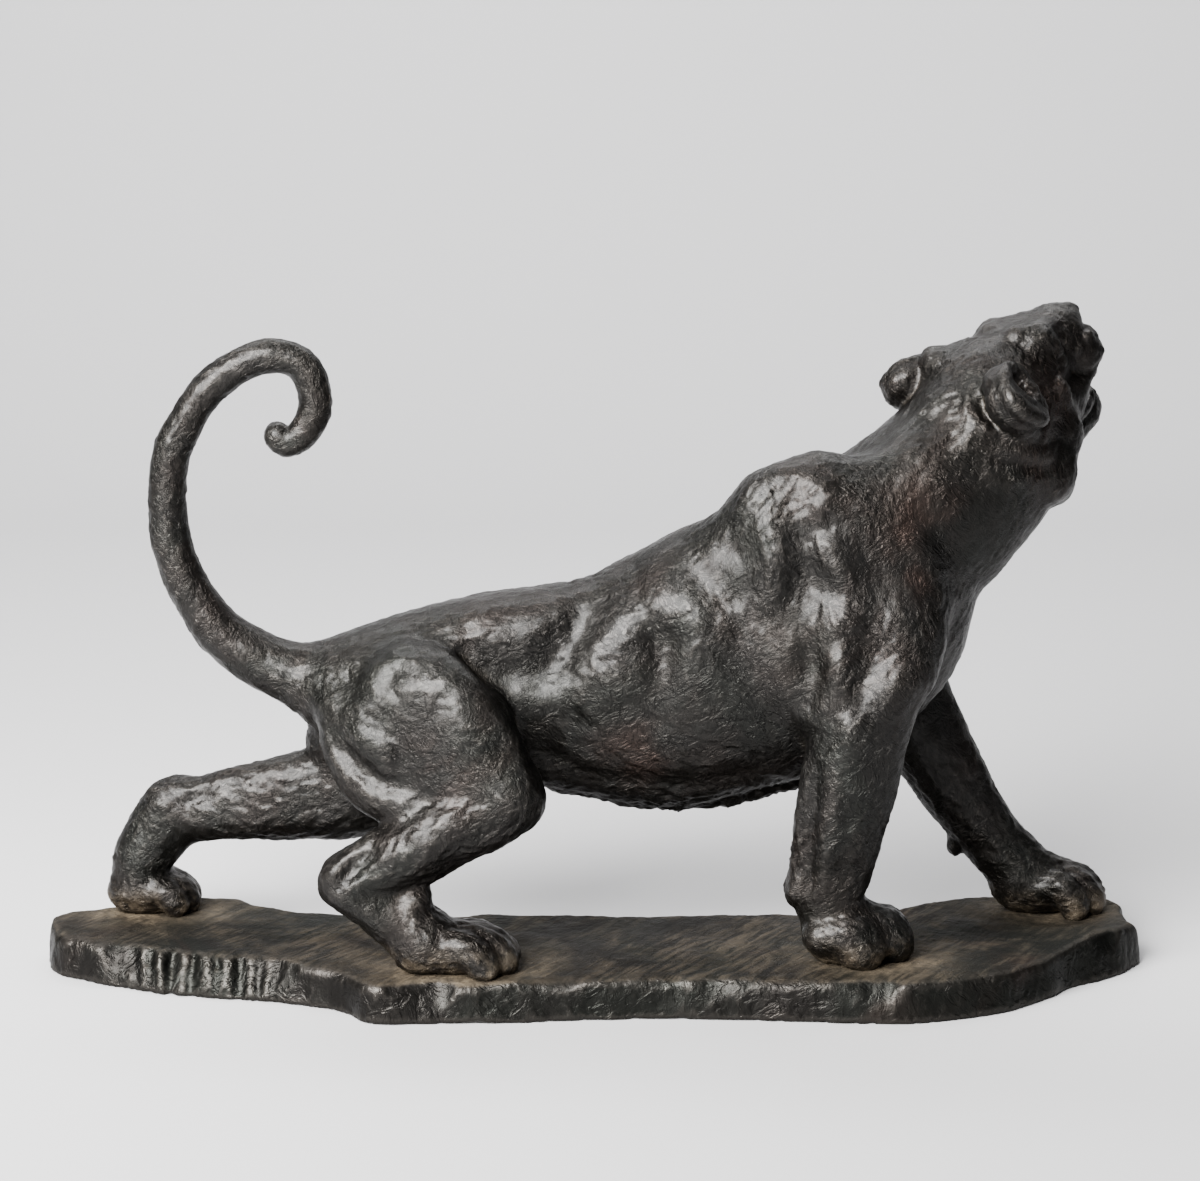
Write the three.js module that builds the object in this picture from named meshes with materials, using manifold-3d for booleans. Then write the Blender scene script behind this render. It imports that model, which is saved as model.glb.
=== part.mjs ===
// Tiger sculpture: a prowling tiger with its head thrown back and its tail curled over, cast in bronze
// and standing on a cast base shaped like a low slab of rock.
// Millimetres, +Z up, +X towards the head, +Y the tiger's left. The origin is the middle of the underside.

import * as THREE from 'three';
import Module from 'manifold-3d';

const wasm = await Module();
wasm.setup();

// Base
const BASE_LENGTH = 510; // left end to right end
const BASE_HEIGHT = 18; // rim above the ground
const BASE_RIGHT_RISE = 4; // how much the lobe at the right end stands higher
const BASE_DRAFT = 3; // how far the rim lies inside the foot of the wall
const BASE_STEP = 10.2; // spacing of the sections along the base

// Tiger
const GROUND = 17.5; // height of the soles before they are bedded on the base
const BEDDING_GAP = 0.3; // between the soles and the base
const BODY_Y = 3; // middle plane of the trunk and the tail
const NECK_SIDE = 36; // half width of the neck behind the ears
const TAIL_Y = 3;
const HEAD_CENTRE = new THREE.Vector3(180, 14, 256); // between the ears, inside the skull
const HEAD_SIZE = 1.13; // head measures below are multiplied by this
const HEAD_RIGHT = new THREE.Vector3(0.640, -0.768, 0.010);
const HEAD_FORWARD = new THREE.Vector3(0.625, 0.528, 0.574);
const FAR_SHOULDER_SHIFT = [16, -9]; // the left shoulder lies further forward and lower
const MODEL_STEP = 4.2; // spacing of the points where the clay is sampled
const TIGER_FACES = 8000; // triangles kept in the tiger

// Base sections: x, front edge, back edge at the foot of the wall
const BASE_EDGE = [
  [-255, 21, 34], [-247, 4, 44], [-228, -10, 56], [-200, -24, 67], [-175, -30, 66], [-157, -34, 55],
  [-140, -37, 49], [-125, -42, 46], [-112, -58, 43], [-100, -65, 41], [-68, -65, 38], [-34, -63, 42],
  [6, -59, 39], [54, -59, 38], [96, -62, 41], [130, -65, 48], [155, -62, 56], [182, -50, 67],
  [205, -33, 73], [218, -18, 74], [232, -8, 72], [246, 5, 66], [255, 20, 52],
];

// Smooth chain through rows of numbers, a few steps to each span
function chain(rows, steps) {
  const last = rows.length - 1;
  const before = rows[0].map((v, i) => 2 * v - rows[1][i]);
  const after = rows[last].map((v, i) => 2 * v - rows[last - 1][i]);
  const all = [before, ...rows, after];
  const out = [];
  for (let s = 1; s <= last; s++) {
    const [a, b, c, d] = [all[s - 1], all[s], all[s + 1], all[s + 2]];
    for (let k = 0; k < steps; k++) {
      const t = k / steps;
      out.push(b.map((v, i) => 0.5 * (2 * v + (c[i] - a[i]) * t
        + (2 * a[i] - 5 * v + 4 * c[i] - d[i]) * t * t
        + (3 * v - a[i] - 3 * c[i] + d[i]) * t * t * t)));
    }
  }
  out.push(rows[last]);
  return out;
}

// Clay: lumps added to or scraped from one another with soft joins
class Clay {
  constructor() {
    this.lumps = [];
    this.swells = [];
  }

  // A strand is a chain of oval sections: x, y, z, radius in its plane, radius sideways
  strand(rows, blend, { steps = 3, side = [0, 1, 0], cut = false } = {}) {
    const full = rows.map((r) => (r.length === 5 ? r : [...r, r[3]]));
    const points = chain(full, full.length > 2 ? steps : 1);
    const across = new THREE.Vector3(...side);
    const segments = [];
    for (let i = 0; i + 1 < points.length; i++) {
      const a = new THREE.Vector3(...points[i]);
      const along = new THREE.Vector3(...points[i + 1]).sub(a);
      const length = along.length();
      along.divideScalar(length);
      const s = across.clone().addScaledVector(along, -across.dot(along)).normalize();
      const n = new THREE.Vector3().crossVectors(along, s);
      segments.push({
        a, along, s, n, length, rn: points[i][3], rs: points[i][4],
        gn: points[i + 1][3] - points[i][3], gs: points[i + 1][4] - points[i][4],
      });
    }
    const centre = points.reduce((sum, p) => sum.add(new THREE.Vector3(...p)), new THREE.Vector3());
    centre.divideScalar(points.length);
    const spans = points.map((p) => centre.distanceTo(new THREE.Vector3(...p)) + Math.max(p[3], p[4]));
    this.lumps.push({ segments, centre, reach: Math.max(...spans), blend, cut });
  }

  egg(centre, radii, blend, { axes = null, cut = false } = {}) {
    const plain = [new THREE.Vector3(1, 0, 0), new THREE.Vector3(0, 1, 0), new THREE.Vector3(0, 0, 1)];
    const [r, f, u] = axes ?? plain;
    const c = new THREE.Vector3(...centre);
    this.lumps.push({ egg: { r, f, u, radii }, centre: c, reach: Math.max(...radii), blend, cut });
  }

  // Distance to the skin, below zero inside; lumps further off than the margin are passed over
  distance(x, y, z, margin, bare = false) {
    let d = 1000;
    for (const lump of this.lumps) {
      const far = lump.reach + lump.blend + margin;
      const cx = x - lump.centre.x;
      const cy = y - lump.centre.y;
      const cz = z - lump.centre.z;
      if (cx * cx + cy * cy + cz * cz > far * far) continue;
      const e = lump.egg ? eggDistance(cx, cy, cz, lump.egg) : strandDistance(x, y, z, lump.segments);
      const k = lump.blend;
      if (lump.cut) {
        const h = Math.max(k - Math.abs(d + e), 0) / k;
        d = Math.max(d, -e) + h * h * k / 4;
      } else {
        const h = Math.max(k - Math.abs(d - e), 0) / k;
        d = Math.min(d, e) - h * h * k / 4;
      }
    }
    if (bare) return d;
    const place = new THREE.Vector3(x, y, z);
    for (const { line, box } of this.swells) {
      if (box.containsPoint(place)) d -= swelling(x, y, z, line);
    }
    return d;
  }

  // Where a line along Y first meets the skin of the lumps, seen from one side
  skin(x, z, side) {
    for (let y = 95; y > -62; y -= 0.5) {
      if (this.distance(x, side * y, z, 20, true) < 0) return side * y;
    }
    return null;
  }

  // Swellings and hollows laid on the skin of the lumps: x, z, width, rise (below zero sinks in)
  muscles(rows, side, shift = [0, 0]) {
    for (const row of rows) {
      const points = [];
      for (const [x0, z0, width, rise] of row) {
        const x = x0 + shift[0];
        const z = z0 + shift[1];
        const y = this.skin(x, z, side);
        const previous = points.at(-1);
        if (y === null || (previous && Math.abs(previous[1] - y) > 20)) continue;
        points.push([x, y, z, width, rise]);
      }
      if (points.length < 2) continue;
      const line = chain(points, points.length > 2 ? 3 : 1);
      const box = new THREE.Box3().setFromPoints(line.map(([x, y, z]) => new THREE.Vector3(x, y, z)));
      this.swells.push({ line, box: box.expandByScalar(30) });
    }
  }
}

// Soft rise round a line laid on the skin, from the nearest point of the line
function swelling(x, y, z, line) {
  let best = 1e9;
  let width = 1;
  let rise = 0;
  for (let i = 0; i + 1 < line.length; i++) {
    const [a, b] = [line[i], line[i + 1]];
    const [ex, ey, ez] = [b[0] - a[0], b[1] - a[1], b[2] - a[2]];
    const [px, py, pz] = [x - a[0], y - a[1], z - a[2]];
    const t = Math.min(Math.max((px * ex + py * ey + pz * ez) / (ex * ex + ey * ey + ez * ez), 0), 1);
    const away = (px - t * ex) ** 2 + (py - t * ey) ** 2 + (pz - t * ez) ** 2;
    if (away < best) {
      best = away;
      width = a[3] + (b[3] - a[3]) * t;
      rise = a[4] + (b[4] - a[4]) * t;
    }
  }
  return rise * Math.exp(-best / width ** 2);
}

function strandDistance(x, y, z, segments) {
  let best = 1e9;
  for (const { a, along, s, n, length, rn, rs, gn, gs } of segments) {
    const px = x - a.x;
    const py = y - a.y;
    const pz = z - a.z;
    const u = px * along.x + py * along.y + pz * along.z;
    const k = Math.min(Math.max(u / length, 0), 1);
    const wn = rn + gn * k;
    const ws = rs + gs * k;
    const wt = Math.min(wn, ws);
    const qt = (u - k * length) / wt;
    const qs = (px * s.x + py * s.y + pz * s.z) / ws;
    const qn = (px * n.x + py * n.y + pz * n.z) / wn;
    const k0 = Math.sqrt(qt * qt + qs * qs + qn * qn) + 1e-9;
    const k1 = Math.sqrt((qt / wt) ** 2 + (qs / ws) ** 2 + (qn / wn) ** 2) + 1e-9;
    best = Math.min(best, k0 * (k0 - 1) / k1);
  }
  return best;
}

function eggDistance(x, y, z, { r, f, u, radii }) {
  const a = (x * r.x + y * r.y + z * r.z) / radii[0];
  const b = (x * f.x + y * f.y + z * f.z) / radii[1];
  const c = (x * u.x + y * u.y + z * u.z) / radii[2];
  const k0 = Math.sqrt(a * a + b * b + c * c);
  const k1 = Math.sqrt((a / radii[0]) ** 2 + (b / radii[1]) ** 2 + (c / radii[2]) ** 2) + 1e-9;
  return k0 * (k0 - 1) / k1;
}

// Trunk, chest and the fringe of belly fur
function addTrunk(clay) {
  const y = BODY_Y;
  clay.strand([
    [-126, y, 137, 14, 17], [-108, y, 136, 24, 27], [-86, y, 138, 31, 32], [-60, y, 139, 38, 32],
    [-36, y, 137, 43, 29], [0, y, 137, 50, 32], [32, y, 140, 59, 38], [58, y, 149, 61, 42],
    [92, y, 160, 62, 42], [118, y, 176, 57, 39], [132, y, 188, 46, 33],
  ], 6, { steps: 4 });
  clay.strand([[124, y, 166, 31, 30], [138, y, 170, 24, 22]], 8);
  clay.strand([
    [-16, y, 94, 6, 5], [8, y, 89, 6, 5], [32, y, 86, 6, 5],
    [62, y, 87, 6, 5], [92, y, 95, 6, 5],
  ], 3);
}

function addNeck(clay) {
  clay.strand([
    [118, 3, 190, 46, NECK_SIDE + 2], [140, 4, 210, 43, NECK_SIDE + 1],
    [161, 8, 230, 40, NECK_SIDE], [171, 11, 242, 38, NECK_SIDE - 1],
  ], 8);
  clay.strand([[166, 8, 206, 22, 24], [186, 12, 226, 20, 22]], 8);
}

// Back edge, blade, foot of the neck, upper arm and the mass behind it on each side
function addShoulders(clay) {
  clay.strand([[44, -4, 190, 14, 14], [62, -10, 205, 14, 13], [78, -15, 222, 13, 12]], 16);
  clay.strand([[68, -18, 200, 13, 11], [82, -20, 224, 17, 14], [100, -18, 235, 14, 13]], 14);
  clay.egg([114, -18, 222], [18, 12, 18], 14);
  clay.strand([[106, -20, 220, 16, 12], [126, -22, 224, 18, 12], [146, -18, 234, 18, 12]], 14);
  clay.strand([
    [92, -28, 214, 20, 8], [114, -33, 194, 22, 9],
    [132, -35, 174, 20, 11], [131, -38, 155, 20, 13],
  ], 16);
  clay.strand([[84, -26, 198, 16, 6], [94, -32, 170, 18, 8], [105, -38, 142, 15, 12]], 16);
  clay.strand([[60, 12, 192, 14, 14], [78, 18, 202, 14, 13], [94, 22, 214, 13, 12]], 16);
  clay.strand([[84, 25, 194, 13, 11], [97, 27, 214, 17, 14], [114, 26, 224, 14, 12]], 14);
  clay.egg([128, 25, 212], [18, 12, 18], 14);
  clay.strand([[120, 27, 210, 16, 12], [138, 27, 216, 18, 12], [152, 26, 226, 16, 12]], 14);
  clay.strand([[108, 34, 206, 20, 8], [122, 40, 190, 22, 9], [142, 40, 170, 20, 12]], 16);
  clay.strand([[90, 34, 190, 16, 6], [104, 41, 165, 18, 9], [128, 46, 136, 17, 12]], 16);
}

// A paw from its heel forwards: a flat core and toes, each a knuckle and a blunt tip
function addPaw(clay, [heelX, heelY], turn, long, wide, high, toes) {
  const a = THREE.MathUtils.degToRad(turn);
  const side = [-Math.sin(a), Math.cos(a), 0];
  const at = (along, across, up, ...radii) => {
    const x = heelX + Math.cos(a) * along * long - Math.sin(a) * across * wide / 2;
    const y = heelY + Math.sin(a) * along * long + Math.cos(a) * across * wide / 2;
    return [x, y, GROUND + up * high, ...radii];
  };
  clay.strand([
    at(0.1, 0, 0.5, high * 0.5, wide * 0.42), at(0.42, 0, 0.5, high * 0.5, wide * 0.44),
    at(0.64, 0, 0.4, high * 0.4, wide * 0.4),
  ], 6, { side });
  for (const [across, reach, size] of toes) {
    const r = wide * 0.15 * size;
    clay.strand([
      at(reach - 0.56, across * 0.7, 0.56, r * 0.9, r),
      at(reach - 0.34, across * 0.96, 0.62, r * 1.15, r * 1.1),
      at(reach - 0.2, across * 1.02, 0.4, r * 1.2, r * 1.15),
      at(reach - 0.16, across, 0.14, r * 1.1, r * 1.15),
    ], 2.5, { side });
  }
}

function addForelegs(clay) {
  clay.strand([
    [146, 30, 188, 18, 8], [142, 39, 170, 20, 13], [140, 45, 146, 24, 14], [145, 45, 124, 22, 15],
    [156, 44, 103, 20, 15], [171, 44, 78, 17, 14.5], [186, 46, 56, 14.5, 14], [196, 47, 45, 14.5, 14.5],
    [205, 47, 36, 14, 15],
  ], 9);
  clay.egg([171, 45, 50], [3.5, 4, 5], 3);
  addPaw(clay, [197, 47], -4, 47, 34, 26, [
    [-0.76, 0.8, 1.2], [-0.26, 0.98, 1.1], [0.24, 1, 1.1], [0.7, 0.86, 1.1],
  ]);
  clay.strand([
    [138, -25, 186, 20, 7], [133, -32, 170, 21, 12], [127, -37, 156, 21, 13.5], [122, -40, 142, 22, 14],
    [118, -40, 124, 21, 15], [114, -38, 101, 21, 15.5], [110, -35, 77, 19, 15], [107, -32, 62, 18, 15],
    [106, -30, 49, 16, 15], [111, -30, 37, 15, 15],
  ], 9);
  clay.egg([93, -30, 52], [6.5, 8, 8], 6);
  addPaw(clay, [104, -30], 8, 45, 36, 27, [
    [-0.66, 0.66, 1.65], [-0.16, 0.97, 1.2], [0.3, 1, 1.15], [0.74, 0.86, 1.1],
  ]);
}

function addHindlegs(clay) {
  clay.strand([[-90, 28, 130, 29, 16], [-99, 33, 116, 33, 17], [-107, 37, 98, 28, 17]], 6);
  clay.strand([
    [-96, 38, 84, 20, 15], [-112, 38, 79, 23, 15], [-136, 39, 76, 21, 14], [-160, 40, 72, 17.5, 13],
    [-180, 41, 69, 15, 12], [-194, 43, 68, 16, 12],
  ], 5);
  clay.strand([
    [-196, 43, 68, 16, 12], [-206, 44, 55, 15, 12.5],
    [-213, 45, 42, 14, 14], [-213, 45, 32, 13, 14],
  ], 3);
  addPaw(clay, [-222, 46], 4, 36, 33, 21, [
    [-0.74, 0.84, 1.1], [-0.26, 1, 1.1], [0.24, 1, 1.1], [0.7, 0.86, 1.1],
  ]);
  clay.strand([
    [-92, -24, 136, 31, 16], [-76, -31, 126, 37, 17],
    [-57, -36, 112, 32, 17], [-42, -39, 98, 23, 16],
  ], 6);
  clay.strand([
    [-104, -19, 130, 19, 13], [-105, -24, 114, 15, 13],
    [-97, -30, 100, 13, 13], [-83, -36, 94, 12, 13],
  ], 6);
  clay.strand([
    [-36, -40, 98, 17, 15], [-48, -41, 90, 17, 15.5], [-64, -42, 83, 17, 15], [-82, -42, 72, 16.5, 14],
    [-98, -42, 64, 15, 12], [-108, -42, 59, 13.5, 11.5],
  ], 5);
  clay.strand([
    [-109, -42, 59, 13, 11.5], [-99, -42, 51, 12.5, 12],
    [-87, -42, 42, 13, 13], [-76, -42, 35, 14, 15],
  ], 3);
  clay.egg([-79, -42, 52], [8, 11, 8], 4);
  addPaw(clay, [-83, -42], 0, 54, 35, 23, [
    [-0.74, 0.82, 1.15], [-0.26, 0.97, 1.15], [0.24, 1, 1.1], [0.7, 0.88, 1.1],
  ]);
}

// The tail leaves the rump, rises and curls over: x, z, radius
function addTail(clay) {
  const line = [
    [-98, 147, 16], [-126, 143, 14], [-140, 145, 13.5], [-154, 152, 12.3], [-168, 162.5, 11],
    [-177, 175, 9.8],
    [-184, 188, 9.3], [-189, 204, 9], [-190, 218, 8.6], [-190, 232, 8.4], [-187, 247, 8.2], [-180, 260, 8.1],
    [-172, 272, 8], [-161, 281, 7.9], [-149, 287, 7.8], [-139, 288, 7.7], [-130, 285, 7.6], [-125, 278, 7.5],
    [-123, 268, 7.4], [-125, 259, 7.2], [-130, 252, 7], [-136, 249, 6.6], [-140, 252, 6.2],
  ];
  clay.strand(line.map(([x, z, r]) => [x, TAIL_Y, z, r, r]), 6, { steps: 2 });
}

// Swellings and hollows of the skin: x, z, width, rise (below zero sinks in)
const SHOULDER_MUSCLES = [
  [[64, 219, 6, 0.5], [66, 225, 7, 2], [70, 232, 7, 2], [77, 238, 7, 1.5]],
  [[86, 241, 7, 1.5], [96, 237, 7, 2], [103, 229, 7, 1.5]],
  [[76, 216, 8, 2], [81, 208, 8, 3], [80, 196, 7, 2.5], [77, 186, 6, 1]],
  [[83, 218, 5, -0.5], [91, 215, 5.5, -1.5], [99, 215, 5.5, -1.5], [107, 220, 6, -0.5]],
  [[96, 213, 6, 1], [103, 208, 7, 3], [109, 201, 7, 3], [115, 193, 6, 1]],
  [[89, 206, 8, -1], [92, 195, 10, -2], [94, 182, 9, -1]],
  [[117, 205, 9, -0.8], [124, 195, 9, -1.2], [125, 183, 8, -0.8]],
  [[136, 220, 6, 0.8], [142, 210, 7, 2.5], [148, 200, 7, 2.5], [152, 188, 6, 1]],
];
const ARM_MUSCLES = [
  [[101, 174, 8, 1], [111, 179, 9, 3], [121, 175, 8, 1.5]],
  [[107, 172, 9, 2.5], [108, 162, 7, 3.5], [108, 153, 5, 1.5]],
  [[96, 171, 6, -1], [95, 158, 6, -2], [94, 143, 6, -1.5]],
  [[122, 168, 8, -1], [119, 157, 8, -1.8], [115, 145, 7, -1]],
  [[141, 161, 6, 1], [134, 150, 7, 3], [129, 141, 7, 3], [124, 133, 5, 1]],
  [[111, 140, 7, 0.5], [113, 131, 8, 2.5], [112, 120, 7, 1]],
  [[108, 113, 10, 1.5], [111, 95, 10, 2], [109, 74, 8, 1.5]],
  [[126, 118, 8, -1], [127, 99, 7, -1.5], [124, 80, 6, -1]],
  [[127, 186, 8, 1], [134, 180, 8, 2], [137, 172, 8, 1.5]],
];
const FLANK_MUSCLES = [
  [[21, 182, 12, 1], [31, 184, 13, 3], [44, 181, 13, 2.5], [54, 174, 11, 1]],
  [[13, 179, 9, 1.5], [21, 172, 9, 3], [20, 162, 9, 3.5], [13, 150, 9, 3], [7, 137, 8, 2], [4, 128, 7, 0.5]],
  [[9, 172, 7, 1], [1, 163, 7, 2.5], [-5, 154, 7, 2.5], [-10, 146, 7, 1]],
  [[10, 162, 6, -0.5], [6, 155, 6, -1.2], [3, 148, 6, -0.5]],
  [[-1, 179, 7, -1], [-8, 167, 7, -2], [-15, 156, 7, -2.5], [-20, 147, 7, -1]],
  [[-58, 168, 9, 1.5], [-48, 167, 10, 3.5], [-32, 167, 10, 4], [-18, 170, 10, 3.5], [-6, 175, 8, 1.5]],
  [[-54, 156, 7, -1], [-41, 151, 8, -1.8], [-25, 152, 8, -1.8], [-16, 159, 7, -1]],
  [[-45, 144, 10, 1], [-32, 141, 11, 2.2], [-18, 141, 11, 2], [-6, 139, 9, 1]],
  [[31, 165, 7, -1.6], [29, 158, 6, -1]],
  [[-16, 110, 6, -1], [0, 101, 6, -1.8], [25, 98, 6, -2], [55, 100, 6, -1.8], [78, 110, 6, -1]],
  [[-23, 122, 8, -1], [-21, 110, 8, -2.5]],
];
const NEAR_THIGH_MUSCLES = [
  [[-87, 144, 12, 2], [-73, 146, 14, 4.5], [-60, 141, 12, 4], [-53, 134, 9, 2]],
  [[-90, 150, 6, -1], [-84, 154, 6, -1.2], [-72, 153, 6, -1]],
  [[-54, 158, 7, -1.5], [-46, 147, 7, -3.5], [-38, 136, 7, -4], [-30, 125, 7, -4], [-23, 108, 7, -3]],
  [[-52, 149, 5, 1], [-43, 136, 6, 2.5], [-35, 124, 6, 3], [-29, 112, 6, 2.5], [-25, 103, 6, 1]],
  [[-104, 131, 6, 1.5], [-100, 124, 7, 3.5], [-93, 119, 6.5, 3.5], [-90, 112, 6, 1.5]],
  [[-85, 123, 7, -1.5], [-83, 115, 7, -2], [-78, 109, 6, -1]],
  [[-60, 100, 9, 1.5], [-63, 90, 10, 4], [-75, 79, 10, 4.5], [-90, 69, 8, 3], [-102, 63, 6, 1.5]],
  [[-54, 77, 7, -1], [-67, 68, 6, -1.5], [-80, 58, 6, -1.5]],
  [[-40, 109, 9, 1.5], [-36, 100, 9, 2]],
  [[-86, 51, 7, 1], [-80, 43, 7, 2], [-76, 35, 7, 1.5]],
];
const FAR_SHANK_INNER = [
  [[-190, 80, 6, 1], [-172, 86, 8, 2], [-150, 90, 8, 2], [-141, 93, 8, 1]],
  [[-181, 62, 6, 1], [-160, 65, 7, 2], [-136, 67, 7, 1]],
];
const FAR_THIGH_MUSCLES = [
  [[-82, 142, 13, 2], [-92, 136, 14, 4], [-104, 124, 12, 3]],
  [[-62, 150, 8, -2], [-66, 130, 8, -3.5], [-72, 108, 8, -2]],
  [[-112, 112, 10, 2], [-104, 96, 12, 3], [-96, 84, 9, 2]],
  [[-130, 88, 8, 2], [-152, 82, 8, 3], [-176, 76, 7, 2]],
];

// Head, in its own right, forward and up measures
function addHead(clay) {
  const right = HEAD_RIGHT.clone().normalize();
  const forward = HEAD_FORWARD.clone().addScaledVector(right, -HEAD_FORWARD.dot(right)).normalize();
  const up = new THREE.Vector3().crossVectors(right, forward);
  const axes = [right, forward, up];
  const at = (r, f, u, ...radii) => {
    const p = HEAD_CENTRE.clone();
    p.addScaledVector(right, r * HEAD_SIZE);
    p.addScaledVector(forward, f * HEAD_SIZE);
    p.addScaledVector(up, u * HEAD_SIZE);
    return [p.x, p.y, p.z, ...radii.map((v) => v * HEAD_SIZE)];
  };
  const egg = (place, radii, blend, cut = false) => {
    clay.egg(at(...place), radii.map((v) => v * HEAD_SIZE), blend, { axes, cut });
  };
  const side = right.toArray();
  egg([0, 0, 4], [28, 31, 27], 6);
  egg([-6, 6, 20], [20, 18, 12], 6);
  egg([0, 20, 12], [19, 20, 16], 6);
  clay.strand([at(0, 20, 6, 16, 18), at(0, 36, 6, 14, 16), at(0, 48, 5, 11.5, 13)], 6, { side });
  for (const s of [-1, 1]) {
    egg([12 * s, 28, 19], [6, 8, 5.5], 4);
    egg([8.5 * s, 47, -2], [9, 10, 9.5], 3);
    egg([18 * s, 8, -10], [11, 17, 16], 6);
    egg([22 * s, -2, -20], [9, 12, 13], 5);
    egg([16 * s, 1, -31], [8, 9, 8], 4);
  }
  egg([0, 55, 9], [7.5, 5.5, 6], 3);
  clay.strand([at(0, 5, -24, 14, 15), at(0, 36, -28, 8.5, 11), at(0, 43, -28, 8.5, 9)], 6, { side });
  egg([0, 42, -14], [11, 22, 6.5], 3, true);
  // Flesh at the corners of the mouth
  for (const s of [-1, 1]) {
    clay.strand([
      at(17 * s, 14, -8, 8, 6), at(15 * s, 26, -10, 9, 5),
      at(12.5 * s, 36, -11, 7, 3.5),
    ], 4, { side });
  }
  // Ears turned outwards and forwards: thick cups, the far one laid closer to the skull
  for (const [s, wide, place] of [[1, 14.5, [25.5, -6, 21]], [-1, 11, [-28, -8, 23.5]]]) {
    const face = right.clone().multiplyScalar(0.93 * s);
    face.addScaledVector(forward, 0.24).addScaledVector(up, 0.3);
    const across = new THREE.Vector3().crossVectors(up, face).normalize();
    const cup = [across, new THREE.Vector3().crossVectors(face, across), face.normalize()];
    const w = wide * HEAD_SIZE;
    const centre = new THREE.Vector3(...at(...place));
    clay.egg(centre.toArray(), [w, w, w * 0.66], 4, { axes: cup });
    centre.addScaledVector(cup[2], w * 0.6);
    clay.egg(centre.toArray(), [w * 0.58, w * 0.66, w * 0.62], 3, { axes: cup, cut: true });
  }
}

function modelTiger() {
  const clay = new Clay();
  addTrunk(clay);
  addNeck(clay);
  addShoulders(clay);
  addForelegs(clay);
  addHindlegs(clay);
  addTail(clay);
  clay.muscles(SHOULDER_MUSCLES, -1);
  clay.muscles(ARM_MUSCLES, -1);
  clay.muscles(FLANK_MUSCLES, -1);
  clay.muscles(NEAR_THIGH_MUSCLES, -1);
  clay.muscles(FAR_SHANK_INNER, -1);
  clay.muscles(SHOULDER_MUSCLES, 1, FAR_SHOULDER_SHIFT);
  clay.muscles(ARM_MUSCLES.slice(0, 3), 1, FAR_SHOULDER_SHIFT);
  clay.muscles(FLANK_MUSCLES, 1);
  clay.muscles(FAR_THIGH_MUSCLES, 1);
  addHead(clay);
  return clay;
}

// Closed skin of the clay: the space is split into cubes and each cube into six wedges
function skinOf(clay, low, high, step) {
  const n = low.map((v, i) => Math.ceil((high[i] - v) / step) + 1);
  const value = new Float64Array(n[0] * n[1] * n[2]);
  const index = (i, j, k) => (i * n[1] + j) * n[2] + k;
  for (let i = 0; i < n[0]; i++) {
    for (let j = 0; j < n[1]; j++) {
      for (let k = 0; k < n[2]; k++) {
        const d = clay.distance(low[0] + i * step, low[1] + j * step, low[2] + k * step, step * 2.5);
        value[index(i, j, k)] = Math.abs(d) < 1e-5 ? 1e-5 : d;
      }
    }
  }
  const wedges = [[0, 1, 3, 7], [0, 1, 5, 7], [0, 2, 3, 7], [0, 2, 6, 7], [0, 4, 5, 7], [0, 4, 6, 7]];
  const points = [];
  const faces = [];
  const known = new Map();
  const corner = (i, j, k, c) => [i + (c & 1), j + ((c >> 1) & 1), k + (c >> 2)];
  const crossing = (i, j, k, a, b) => {
    const [p, q] = [corner(i, j, k, Math.min(a, b)), corner(i, j, k, Math.max(a, b))];
    const key = index(...p) * 8 + (a ^ b);
    if (known.has(key)) return known.get(key);
    const [d, e] = [value[index(...p)], value[index(...q)]];
    const t = Math.min(Math.max(d / (d - e), 0.04), 0.96);
    points.push(p.map((v, m) => low[m] + (v + (q[m] - v) * t) * step));
    known.set(key, points.length - 1);
    return points.length - 1;
  };
  const addFace = (a, b, c, outward) => {
    if (a === b || b === c || a === c) return;
    const [p, q, r] = [points[a], points[b], points[c]];
    const normal = cross(minus(q, p), minus(r, p));
    faces.push(dot(normal, outward) > 0 ? [a, b, c] : [a, c, b]);
  };
  for (let i = 0; i + 1 < n[0]; i++) {
    for (let j = 0; j + 1 < n[1]; j++) {
      for (let k = 0; k + 1 < n[2]; k++) {
        const d = [0, 1, 2, 3, 4, 5, 6, 7].map((c) => value[index(...corner(i, j, k, c))]);
        if (Math.min(...d) > 0 || Math.max(...d) < 0) continue;
        for (const wedge of wedges) {
          const inside = wedge.filter((c) => d[c] < 0);
          const outside = wedge.filter((c) => d[c] > 0);
          if (!inside.length || !outside.length) continue;
          const sum = (set, m) => set.reduce((s, c) => s + ((c >> m) & 1), 0);
          const mean = (set) => [0, 1, 2].map((m) => sum(set, m) / set.length);
          const outward = minus(mean(outside), mean(inside));
          const ring = [];
          if (inside.length === 2) {
            ring.push(crossing(i, j, k, inside[0], outside[0]), crossing(i, j, k, inside[0], outside[1]));
            ring.push(crossing(i, j, k, inside[1], outside[1]), crossing(i, j, k, inside[1], outside[0]));
          } else {
            const [one, rest] = inside.length === 1 ? [inside, outside] : [outside, inside];
            for (const c of rest) ring.push(crossing(i, j, k, one[0], c));
          }
          addFace(ring[0], ring[1], ring[2], outward);
          if (ring.length === 4) addFace(ring[0], ring[2], ring[3], outward);
        }
      }
    }
  }
  return { points, faces };
}

const minus = (a, b) => [a[0] - b[0], a[1] - b[1], a[2] - b[2]];
const dot = (a, b) => a[0] * b[0] + a[1] * b[1] + a[2] * b[2];
const cross = (a, b) => [a[1] * b[2] - a[2] * b[1], a[2] * b[0] - a[0] * b[2], a[0] * b[1] - a[1] * b[0]];

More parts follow.
